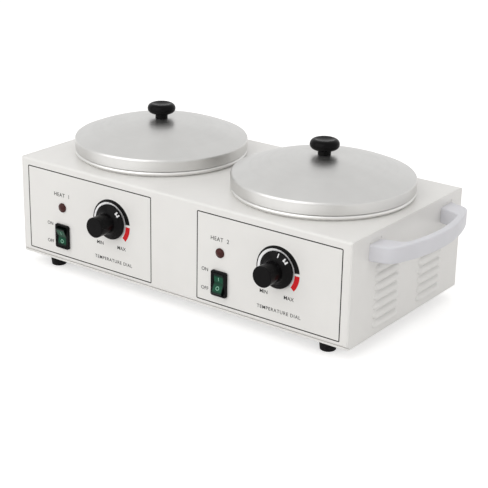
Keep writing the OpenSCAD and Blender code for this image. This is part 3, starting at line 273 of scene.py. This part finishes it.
MATERIALS = {
    "painted_steel": surface("painted_steel", (0.80, 0.79, 0.77), 0.36, shade=0.012, grain=700.0,
                             bump=0.06, edge=0.0005, wear=0.93, Coat_Weight=0.15, Coat_Roughness=0.25),
    "rubber": surface("rubber", (0.006, 0.006, 0.006), 0.7, shade=0.12, grain=1600.0, bump=0.3,
                      edge=0.0004, wear=2.2, Specular_IOR_Level=0.15),
    "plated_steel": surface("plated_steel", (0.66, 0.66, 0.64), 0.32, metallic=1.0, spread=0.08,
                            shade=0.05, grain=1200.0, bump=0.12, wear=0.8),
    "handle_plastic": surface("handle_plastic", (0.69, 0.69, 0.725), 0.42, shade=0.02, grain=1500.0,
                              bump=0.1, edge=0.0004, wear=1.06),
    "aluminium": spun_aluminium("aluminium", (0.63, 0.625, 0.612), 0.36),
    "heater_steel": surface("heater_steel", (0.20, 0.19, 0.18), 0.5, metallic=1.0, spread=0.1,
                            shade=0.2, grain=500.0, bump=0.2, wear=1.5),
    "mineral_fibre": surface("mineral_fibre", (0.74, 0.69, 0.58), 0.95, spread=0.03, shade=0.08,
                             grain=450.0, bump=0.8, depth=0.0003, edge=0.0006, stretch=(1.0, 1.0, 4.0)),
    "black_plastic": surface("black_plastic", (0.0045, 0.0042, 0.0045), 0.22, spread=0.05, shade=0.15,
                             grain=800.0, bump=0.05, edge=0.0004, wear=2.0, Specular_IOR_Level=0.07),
    "thermostat_body": surface("thermostat_body", (0.07, 0.06, 0.055), 0.55, shade=0.1, grain=900.0,
                               bump=0.2, wear=1.5),
    "copper": surface("copper", (0.72, 0.40, 0.26), 0.35, metallic=1.0, spread=0.08, shade=0.12,
                      grain=600.0, bump=0.1, wear=0.8),
    "brass": surface("brass", (0.76, 0.58, 0.27), 0.3, metallic=1.0, spread=0.08, shade=0.06,
                     grain=1000.0, bump=0.1, wear=0.85),
    "red_lens": surface("red_lens", (0.056, 0.008, 0.006), 0.14, spread=0.03, shade=0.2, grain=900.0,
                        bump=0.03, edge=0.0002, Specular_IOR_Level=0.2),
    "green_rocker": lit_rocker("green_rocker", (0.006, 0.085, 0.042), (0.002, 0.006, 0.0045)),
    "ceramic": surface("ceramic", (0.80, 0.79, 0.75), 0.6, shade=0.04, grain=600.0, bump=0.25,
                       edge=0.0005, wear=0.9),
    "wire_sleeve": surface("wire_sleeve", (0.36, 0.035, 0.025), 0.5, shade=0.08, grain=700.0, bump=0.1),
}
PRINT_LOOK = {"rough": 0.45, "shade": 0.06, "grain": 2500.0, "bump": 0.2, "depth": 0.00001}
INK = surface("black_print", (0.006, 0.006, 0.006), Specular_IOR_Level=0.1, **PRINT_LOOK)
RED_INK = surface("red_print", (0.64, 0.010, 0.016), Specular_IOR_Level=0.15, **PRINT_LOOK)
# white print for the dial marks, also used as white painted light in the ring round each dial
WHITE_PRINT_AND_PAINTED_LIGHT = surface("white_print_and_painted_light", (0.90, 0.90, 0.91), **PRINT_LOOK)
PALE_INK = surface("pale_print", (0.28, 0.56, 0.42), Specular_IOR_Level=0.2, **PRINT_LOOK)
# a lighter copy of the aluminium for the pots: painted light that lifts the shade on their lips
PAINTED_LIGHT_LIP_ALUMINIUM = spun_aluminium("lip_aluminium_painted_light", (0.80, 0.795, 0.78), 0.46)

slot_of = {s["node"]: s["material_slot"] for s in frame["record"]["subparts"]}
for name, obj in nodes.items():
    obj.data.materials.clear()
    # the pots take the lighter copy of the aluminium, which is painted light
    obj.data.materials.append(PAINTED_LIGHT_LIP_ALUMINIUM if name.endswith("_pot") else MATERIALS[slot_of[name]])


# Pieces

def finish_piece(obj, body, material, smooth=None):
    """Puts a material on a piece, says how it is shaded and which body it rides on."""
    obj.data.materials.clear()
    obj.data.materials.append(material)
    if smooth is not None:
        obj.data.shade_smooth()
        obj.data.set_sharp_from_angle(angle=math.radians(smooth))
    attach(obj, body)


def mesh_piece(name, points, faces):
    """A mesh object from points in millimetres."""
    mesh = bpy.data.meshes.new(name)
    mesh.from_pydata([tuple(c * MM for c in p) for p in points], [], faces)
    mesh.validate()
    obj = bpy.data.objects.new(name, mesh)
    bpy.context.scene.collection.objects.link(obj)
    return obj


def close(obj):
    """Joins points that coincide and turns all faces outwards."""
    bm = bmesh.new()
    bm.from_mesh(obj.data)
    bmesh.ops.remove_doubles(bm, verts=bm.verts, dist=1e-7)
    bmesh.ops.recalc_face_normals(bm, faces=bm.faces)
    bm.to_mesh(obj.data)
    bm.free()


# Flat strips, and the thin slabs that they become

def box_strip(x0, z0, x1, z1):
    return [((x0, z0), (x0, z1)), ((x1, z0), (x1, z1))]


def ring_strip(x, z, r, width, steps, start=0.0, end=360.0):
    """A stretch of a ring, with its angles clockwise from the top."""
    low, high = r - width / 2, r + width / 2
    strip = []
    for i in range(steps + 1):
        a = math.radians(start + (end - start) * i / steps)
        strip.append(((x + low * math.sin(a), z + low * math.cos(a)),
                      (x + high * math.sin(a), z + high * math.cos(a))))
    return strip


def frame_strips(x0, z0, x1, z1, width, corner):
    """A printed frame of thin lines with rounded corners."""
    strips = [box_strip(x0 + corner, z0 - width / 2, x1 - corner, z0 + width / 2),
              box_strip(x0 + corner, z1 - width / 2, x1 - corner, z1 + width / 2),
              box_strip(x0 - width / 2, z0 + corner, x0 + width / 2, z1 - corner),
              box_strip(x1 - width / 2, z0 + corner, x1 + width / 2, z1 - corner)]
    for x, z, start in ((x1 - corner, z1 - corner, 0), (x1 - corner, z0 + corner, 90),
                        (x0 + corner, z0 + corner, 180), (x0 + corner, z1 - corner, 270)):
        strips.append(ring_strip(x, z, corner, width, 8, start, start + 90))
    return strips


def crescent_strip(x, start, end, steps, inside=False):
    """The dial's scale, thin on the left and thick on the right, or inside it a white ring of painted
    light that lightens the panel where the knob's shade falls.

    It lies between two circles whose middles are a shift apart.
    """
    outer, inner, shift = 19.9, 17.2, 1.8
    # the inner radius of the white ring of painted light that lightens the knob's shade on the panel
    ground, overlap = 14.0, 0.2
    strip = []
    for i in range(steps + 1):
        a = math.radians(start + (end - start) * i / steps)
        s, c = math.sin(a), math.cos(a)
        r = -shift * s + math.sqrt(inner ** 2 - (shift * c) ** 2)
        low, high = (ground, r + overlap) if inside else (r, outer)
        strip.append(((x + low * s, SCALE_Z + low * c), (x + high * s, SCALE_Z + high * c)))
    return strip


def radial_strip(width, r0, r1, turn, steps=10):
    """A straight mark that runs outwards at an angle from the pointer."""
    half = width / 2
    s, c = math.sin(math.radians(turn)), math.cos(math.radians(turn))
    strip = []
    for i in range(steps + 1):
        r = r0 + (r1 - r0) * i / steps
        strip.append(((r * s - half * c, r * c + half * s), (r * s + half * c, r * c - half * s)))
    return strip


def shifted(strip, across):
    return [((x0 + across, y0), (x1 + across, y1)) for (x0, y0), (x1, y1) in strip]


def slabs(name, strips, place, high=PRINT):
    """Thin closed slabs, one to each strip, which is a list of (inner, outer) pairs of flat points.

    The function place sets a flat point and a height above the surface into the model's frame.
    """
    sunk = -0.03
    points, faces = [], []
    for strip in strips:
        start = len(points)
        for pair in strip:
            for point in pair:
                points.append(place(point, sunk))
                points.append(place(point, high))
        rows = len(strip)
        for i in range(rows - 1):
            a, b = start + 4 * i, start + 4 * (i + 1)
            faces += [(a + 1, a + 3, b + 3, b + 1), (a, b, b + 2, a + 2), (a, a + 1, b + 1, b),
                      (a + 2, b + 2, b + 3, a + 3)]
        last = start + 4 * (rows - 1)
        faces += [(start, start + 2, start + 3, start + 1), (last, last + 1, last + 3, last + 2)]
    obj = mesh_piece(name, points, faces)
    close(obj)
    return obj


# Marks on the front panel, the dials and the rockers

def on_front(point, high):
    return (point[0], FRONT_Y - high, point[1])


def words(name, text, size, x, z, spacing=1.0):
    """Plain lettering that stands upright on the front panel."""
    curve = bpy.data.curves.new(name, "FONT")
    curve.body = text
    curve.size = size * MM
    curve.align_x = "CENTER"
    curve.align_y = "CENTER"
    curve.space_character = spacing
    curve.extrude = PRINT / 2 * MM
    curve.offset = BOLDER * MM
    curve.resolution_u = 4
    made = bpy.data.objects.new(name + "_curve", curve)
    bpy.context.scene.collection.objects.link(made)
    bpy.context.view_layer.update()
    graph = bpy.context.evaluated_depsgraph_get()
    mesh = bpy.data.meshes.new_from_object(made.evaluated_get(graph))
    mesh.name = name
    bpy.data.objects.remove(made)
    bpy.data.curves.remove(curve)
    middle = Matrix.Translation((x * MM, (FRONT_Y - PRINT / 2) * MM, z * MM))
    mesh.transform(middle @ Matrix.Rotation(math.pi / 2, 4, "X"))
    obj = bpy.data.objects.new(name, mesh)
    bpy.context.scene.collection.objects.link(obj)
    finish_piece(obj, "casing", INK)


def front_lettering(side, dial_x, switch_x):
    """A number for the lamp, the ends of the dial's scale, the dial's name and the switch's two ways."""
    number = "1" if side == "left" else "2"
    scale_ends_z = BASE_Z + 27.4
    ways_x = switch_x - 14.8
    words(side + "_lamp_label", "HEAT  " + number, 4.7, switch_x - 0.5, LAMP_Z + 10.8, spacing=1.1)
    words(side + "_min_label", "MIN", 4.3, dial_x - 12.6, scale_ends_z)
    words(side + "_max_label", "MAX", 4.3, dial_x + 10.6, scale_ends_z)
    words(side + "_dial_label", "TEMPERATURE DIAL", 4.0, dial_x + 1.6, BASE_Z + 14.4, spacing=1.15)
    words(side + "_on_label", "ON", 4.2, ways_x, SWITCH_Z + 8.6)
    words(side + "_off_label", "OFF", 4.2, ways_x, SWITCH_Z - 7.4)


def front_print():
    """Frames, dial scales, a white ring of painted light round each dial and small lettering on the front
    panel.
    """
    for side, x in STATIONS.items():
        x0, x1 = FRAME_X[side]
        lines = frame_strips(x0, FRAME_Z[0], x1, FRAME_Z[1], FRAME_LINE, FRAME_CORNER)
        finish_piece(slabs(side + "_printed_frame", lines, on_front), "casing", INK)
        dial_x = x + DIAL_DX
        black = crescent_strip(dial_x, SCALE_START, BLACK_END, 90)
        finish_piece(slabs(side + "_dial_scale", [black], on_front), "casing", INK)
        # a white ring of painted light round each dial, which lightens the panel where the knob's shade
        # falls
        white = crescent_strip(dial_x, SCALE_START, SCALE_END, 90, inside=True)
        finish_piece(slabs(side + "_dial_painted_light_ring", [white], on_front, PRINT / 2), "casing", WHITE_PRINT_AND_PAINTED_LIGHT)
        red = crescent_strip(dial_x, RED_START, SCALE_END, 20)
        finish_piece(slabs(side + "_dial_hot_end", [red], on_front), "casing", RED_INK)
        front_lettering(side, dial_x, x + SWITCH_DX)


def skirt_out(r):
    """How far a knob's skirt and flare stand off the panel at a radius."""
    for (r0, out0), (r1, out1) in zip(SKIRT_PROFILE, SKIRT_PROFILE[1:]):
        if r >= r1:
            return out0 + (out1 - out0) * (r0 - min(r, r0)) / (r0 - r1)
    return SKIRT_PROFILE[-1][1]


def turned_on_dial(side):
    """A function that sets a flat point on a knob's skirt into the model's frame.

    The point's second number runs along the knob's pointer, and its first across it.
    """
    turn = math.radians(DIAL_ANGLE[side])
    dial_x = STATIONS[side] + DIAL_DX

    def place(point, high):
        across, out = point
        r = math.hypot(across, out)
        a = turn + math.atan2(across, out)
        return (dial_x + r * math.sin(a), FRONT_Y - skirt_out(r) - high, DIAL_Z + r * math.cos(a))
    return place


def dial_marks():
    """A forked white mark at each knob's pointer, and a line beside it on the right one."""
    root_r, fork_r, tip_r = 11.3, 12.6, 14.1
    root_width, prong_width, prong_across = 4.0, 1.2, 1.4
    for side in STATIONS:
        strips = [radial_strip(root_width, root_r, fork_r, 0.0)]
        for across in (-prong_across, prong_across):
            strips.append(shifted(radial_strip(prong_width, fork_r, tip_r, 0.0), across))
        if side == "right":
            strips.append(radial_strip(0.8, 11.0, 14.2, -33.0))
        marks = slabs(side + "_dial_pointer_mark", strips, turned_on_dial(side))
        finish_piece(marks, side + "_dial", WHITE_PRINT_AND_PAINTED_LIGHT)


def on_rocker(side, half):
    """A function that sets a flat point on a rocker's upper (1) or lower (-1) half in place.

    The point's first number runs across the rocker, and its second from the middle towards the end.
    """
    tilt = math.radians(ROCKER_TILT[side])
    slope = math.atan2(ROCKER_RISE, ROCKER_HALF)
    switch_x = STATIONS[side] + SWITCH_DX

    def place(point, high):
        across, along = point
        z = half * along * math.cos(slope)
        y = -ROCKER_OUT - along * math.sin(slope) - high
        turned_y = y * math.cos(tilt) - z * math.sin(tilt)
        turned_z = y * math.sin(tilt) + z * math.cos(tilt)
        return (switch_x + across, FRONT_Y + turned_y, SWITCH_Z + turned_z)
    return place


def rocker_marks():
    """The line and the ring on each rocker's two halves."""
    half_width, line_start, line_end = 0.25, 2.2, 5.2
    ring_along, ring_r, ring_width = 3.9, 1.4, 0.6
    line = [((-half_width, line_start), (-half_width, line_end)),
            ((half_width, line_start), (half_width, line_end))]
    ring = ring_strip(0, ring_along, ring_r, ring_width, 32)
    for side in STATIONS:
        upper = slabs(side + "_rocker_line_mark", [line], on_rocker(side, 1))
        lower = slabs(side + "_rocker_ring_mark", [ring], on_rocker(side, -1))
        finish_piece(upper, side + "_rocker", PALE_INK)
        finish_piece(lower, side + "_rocker", PALE_INK)


# Moulded and rolled pieces

def arc(x, z, r, start, end, steps):
    points = []
    for i in range(steps + 1):
        a = math.radians(start + (end - start) * i / steps)
        points.append((x + r * math.cos(a), z + r * math.sin(a)))
    return points


def lathe(name, profile, x, z, steps):
    """A turned piece that faces the front. The profile is a list of (radius, distance off the panel)."""
    points, faces = [], []
    for r, out in profile:
        for i in range(steps):
            a = 2 * math.pi * i / steps
            points.append((x + r * math.cos(a), FRONT_Y - out, z + r * math.sin(a)))
    for j in range(len(profile) - 1):
        for i in range(steps):
            k = (i + 1) % steps
            faces.append((j * steps + i, j * steps + k, (j + 1) * steps + k, (j + 1) * steps + i))
    faces.append(tuple(range(steps)))
    faces.append(tuple((len(profile) - 1) * steps + i for i in range(steps)))
    obj = mesh_piece(name, points, faces)
    close(obj)
    return obj


def lamp_lenses():
    """Lenses with a soft collar and a low dome."""
    barrel_r, barrel_end, clear = 3.2, -4.0, 0.05
    collar_r, collar_out, collar_round = 4.0, 1.0, 0.4
    step = [(3.15, 1.0), (3.05, 1.1)]
    dome_r, dome_edge, dome_top, dome_steps = 6.0, 3.0, 2.0, 8
    tip_r = 0.02
    profile = [(barrel_r, barrel_end), (barrel_r, clear), (collar_r, clear)]
    profile += arc(collar_r - collar_round, collar_out - collar_round, collar_round, 0, 90, 5)
    profile += step
    for i in range(dome_steps + 1):
        a = math.asin(dome_edge / dome_r) * (1 - i / dome_steps)
        profile.append((max(tip_r, dome_r * math.sin(a)), dome_top - dome_r * (1 - math.cos(a))))
    for side, x in STATIONS.items():
        obj = lathe(side + "_lamp_lens_turned", profile, x + SWITCH_DX, LAMP_Z, 48)
        finish_piece(obj, "casing", MATERIALS["red_lens"], 40)
        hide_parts(side + "_lamp_lens")


def eased_corner(before, corner, after, reach=5.5, steps=8):
    """Points that round a corner off between the places before and after it."""
    before, corner, after = Vector(before), Vector(corner), Vector(after)
    first = corner + (before - corner).normalized() * reach
    points = []
    for i in range(steps + 1):
        t = i / steps
        points.append(tuple(first * (1 - t) ** 2 + corner * 2 * t * (1 - t) + after * t ** 2))
    return points


def handle_points():
    """The handle's outline in millimetres from the panel and from its middle, as the model has it."""
    root, post_w, post_out, lean_in = 126.0, 17.8, 16.6, 4.6
    bow_out, bow_t, fillet = 29.1, 6.0, 8.0
    outer_steps, inner_steps, fillet_steps = 40, 32, 12
    corner_y = root / 2 - lean_in
    rise = bow_out - post_out
    bow_r = (corner_y ** 2 + rise ** 2) / (2 * rise)
    bow_x = bow_out - bow_r
    gap_r = bow_r - bow_t
    gap_half = root / 2 - post_w
    # the fillet's middle is a fillet inside both the leaning post and the bow's inner circle
    lean = math.atan2(lean_in, post_out)
    across = Vector((math.sin(lean), math.cos(lean)))
    along = Vector((math.cos(lean), -math.sin(lean)))
    reach = gap_r - fillet
    up = gap_half * math.cos(lean) - fillet
    out = along.x * bow_x + math.sqrt(reach ** 2 - (up - across.x * bow_x) ** 2)
    middle = across * up + along * out
    bow_middle = Vector((bow_x, 0))
    bow_point = bow_middle + (middle - bow_middle) * gap_r / reach
    # round the outside, from one end to the other
    outer = math.degrees(math.asin(corner_y / bow_r))
    bow_face = arc(bow_x, 0.0, bow_r, -outer, outer, outer_steps)
    corner = eased_corner((0.0, root / 2), bow_face[-1], bow_face[-3])
    points = [(0.0, -root / 2)] + [(x, -y) for x, y in corner] + bow_face[3:-3]
    points += list(reversed(corner)) + [(0.0, root / 2)]
    # and back along the inside
    towards = bow_point - middle
    start = math.degrees(math.atan2(across.y, across.x))
    end = math.degrees(math.atan2(towards.y, towards.x))
    upper = [(0.0, gap_half)] + arc(middle.x, middle.y, fillet, start, end, fillet_steps)
    inner = math.degrees(math.atan2(bow_point.y, bow_point.x - bow_x))
    bow = arc(bow_x, 0.0, gap_r, inner, -inner, inner_steps)[1:-1]
    lower = [(x, -y) for x, y in reversed(upper)]
    return points + upper + bow + lower


def handle():
    """Moulded handle with rounded edges."""
    clear, edge_r = 0.05, 1.3
    outline = handle_points()
    points = [(PANEL_X + clear + x, HANDLE_Y + y, z) for z in HANDLE_Z for x, y in outline]
    n = len(outline)
    faces = [tuple(range(n)), tuple(range(n, 2 * n))]
    faces += [(i, (i + 1) % n, n + (i + 1) % n, n + i) for i in range(n)]
    obj = mesh_piece("right_handle_moulded", points, faces)
    close(obj)
    bm = bmesh.new()
    bm.from_mesh(obj.data)
    bm.edges.ensure_lookup_table()
    # the edges that lie against the panel stay sharp
    panel = (PANEL_X + clear) * MM + 1e-5
    rounded = [e for e in bm.edges if e.calc_face_angle(0) > math.radians(25)
               and not all(v.co.x < panel for v in e.verts)]
    bmesh.ops.bevel(bm, geom=rounded, offset=edge_r * MM, segments=4, profile=0.5, affect="EDGES",
                    clamp_overlap=True)
    bm.to_mesh(obj.data)
    bm.free()
    finish_piece(obj, "casing", MATERIALS["handle_plastic"], 35)
    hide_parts("right_handle")


def rolled_edge(name, x, r, z, tube, body, material, steps=160, round_steps=12):
    """The round edge that a spun sheet's rim is rolled into."""
    points, faces = [], []
    for i in range(steps):
        a = 2 * math.pi * i / steps
        k = (i + 1) % steps
        for j in range(round_steps):
            b = 2 * math.pi * j / round_steps
            m = (j + 1) % round_steps
            reach = r + tube * math.cos(b)
            points.append((x + reach * math.cos(a), WELL_Y + reach * math.sin(a), z + tube * math.sin(b)))
            faces.append((i * round_steps + j, k * round_steps + j, k * round_steps + m,
                          i * round_steps + m))
    obj = mesh_piece(name, points, faces)
    close(obj)
    finish_piece(obj, body, material, 60)


def rolled_edges():
    """Rolled edges along the lids' skirts and the pots' lips, just clear of what is below them."""
    clear, inset = 0.04, 0.6
    lid_tube, lip_tube = 0.5, 0.6
    for side, x in STATIONS.items():
        rolled_edge(side + "_lid_rolled_edge", x, LID_R - inset, RIM_TOP_Z + clear + lid_tube, lid_tube,
                    side + "_lid", MATERIALS["aluminium"])
        # the pots' rolled edges take the lighter copy of the aluminium too, painted light
        rolled_edge(side + "_pot_rolled_edge", x, LIP_R - inset, TOP_Z + clear + lip_tube, lip_tube,
                    side + "_pot", PAINTED_LIGHT_LIP_ALUMINIUM)


front_print()
rolled_edges()
dial_marks()
rocker_marks()
lamp_lenses()
handle()


# Studio

def camera():
    """The photograph's place and lens: an azimuth of 36, an elevation of 21 and a slight roll."""
    azimuth, elevation, roll = (math.radians(a) for a in (36.09, 20.76, 1.14))
    back = Vector((math.sin(azimuth) * math.cos(elevation), -math.cos(azimuth) * math.cos(elevation),
                   math.sin(elevation)))
    right = (-back).cross(Vector((0, 0, 1))).normalized()
    up = right.cross(-back)
    across = right * math.cos(roll) + up * math.sin(roll)
    upwards = -right * math.sin(roll) + up * math.cos(roll)
    place = Vector((642.46 + MID_X, -785.74 + FRONT_Y, 430.06 + BASE_Z)) * MM
    turn = Matrix((across, upwards, back)).transposed().to_4x4()
    data = bpy.data.cameras.new("camera")
    data.sensor_width = SENSOR_MM
    data.lens = FOCAL_PX / PHOTO_PX * SENSOR_MM
    data.clip_start = 0.01
    data.clip_end = 50.0
    obj = bpy.data.objects.new("camera", data)
    obj.matrix_world = Matrix.Translation(place) @ turn
    bpy.context.scene.collection.objects.link(obj)
    bpy.context.scene.camera = obj


def seen_directly(tree):
    """1 for what the camera sees, also in a reflection or through glass."""
    path = tree.nodes.new("ShaderNodeLightPath")
    first = tree.nodes.new("ShaderNodeMath")
    second = tree.nodes.new("ShaderNodeMath")
    first.operation = "MAXIMUM"
    second.operation = "MAXIMUM"
    tree.links.new(path.outputs["Is Camera Ray"], first.inputs[0])
    tree.links.new(path.outputs["Is Glossy Ray"], first.inputs[1])
    tree.links.new(first.outputs[0], second.inputs[0])
    tree.links.new(path.outputs["Is Transmission Ray"], second.inputs[1])
    return second.outputs[0]


def sky(tree, levels):
    """A brightness for each height in the surroundings: (sine of the elevation, brightness) pairs."""
    place = tree.nodes.new("ShaderNodeTexCoord")
    split = tree.nodes.new("ShaderNodeSeparateXYZ")
    spread = tree.nodes.new("ShaderNodeMapRange")
    ramp = tree.nodes.new("ShaderNodeValToRGB")
    tree.links.new(place.outputs["Generated"], split.inputs[0])
    tree.links.new(split.outputs["Z"], spread.inputs["Value"])
    spread.inputs["From Min"].default_value = -1.0
    tree.links.new(spread.outputs["Result"], ramp.inputs["Fac"])
    steps = ramp.color_ramp.elements
    while len(steps) < len(levels):
        steps.new(0.5)
    for step, (height, level) in zip(steps, levels):
        step.position = (height + 1) / 2
        step.color = (level, level, level, 1)
    return ramp.outputs["Color"]


def surroundings():
    """White surroundings, a very little darker above. What they light is lit at a plain level."""
    world = bpy.data.worlds.new("world")
    bpy.context.scene.world = world
    world.use_nodes = True
    tree = world.node_tree
    tree.nodes.clear()
    shown = tree.nodes.new("ShaderNodeBackground")
    light = tree.nodes.new("ShaderNodeBackground")
    mix = tree.nodes.new("ShaderNodeMixShader")
    out = tree.nodes.new("ShaderNodeOutputWorld")
    tree.links.new(sky(tree, [(0.0, 1.0), (0.2, 0.99), (1.0, 0.97)]), shown.inputs["Color"])
    shown.inputs["Strength"].default_value = 1.0
    light.inputs["Color"].default_value = (1.0, 0.99, 0.975, 1)
    light.inputs["Strength"].default_value = WORLD_LEVEL
    tree.links.new(seen_directly(tree), mix.inputs["Fac"])
    tree.links.new(light.outputs[0], mix.inputs[1])
    tree.links.new(shown.outputs[0], mix.inputs[2])
    tree.links.new(mix.outputs[0], out.inputs["Surface"])


def pale_floor():
    """A pale floor that keeps the object's shadow."""
    reach = 4000
    corners = [(-reach, -reach, 0), (reach, -reach, 0), (reach, reach, 0), (-reach, reach, 0)]
    floor = mesh_piece("floor", corners, [(0, 1, 2, 3)])
    material = bpy.data.materials.new("floor")
    material.use_nodes = True
    tree = material.node_tree
    shader = tree.nodes["Principled BSDF"]
    shader.inputs["Base Color"].default_value = (0.74, 0.735, 0.73, 1)
    shader.inputs["Roughness"].default_value = 0.9
    shader.inputs["Specular IOR Level"].default_value = 0.1
    shader.inputs["Emission Color"].default_value = (1, 1, 1, 1)
    lift = tree.nodes.new("ShaderNodeMath")
    lift.operation = "MULTIPLY"
    lift.inputs[1].default_value = FLOOR_LIFT
    tree.links.new(seen_directly(tree), lift.inputs[0])
    tree.links.new(lift.outputs[0], shader.inputs["Emission Strength"])
    floor.data.materials.append(material)


def lamp(name, place, size, watts, mirrored=True):
    """A soft lamp that points at the object, and that shiny surfaces mirror or not."""
    target = Vector((0.0, 0.0, 0.06))
    data = bpy.data.lights.new(name, "AREA")
    data.shape = "RECTANGLE"
    data.size, data.size_y = size
    data.energy = watts
    obj = bpy.data.objects.new(name, data)
    obj.location = place
    obj.rotation_mode = "QUATERNION"
    obj.rotation_quaternion = (target - Vector(place)).to_track_quat("-Z", "Y")
    obj.visible_glossy = mirrored
    bpy.context.scene.collection.objects.link(obj)


camera()
surroundings()
pale_floor()
lamp("key", (-0.35, -1.45, 1.0), (2.2, 2.2), KEY_WATTS)
lamp("top", (0.1, 0.3, 1.6), (1.8, 1.4), TOP_WATTS, mirrored=False)
lamp("side", (1.5, 0.2, 0.7), (1.2, 0.9), SIDE_WATTS, mirrored=False)
bpy.context.scene.view_settings.view_transform = "Standard"
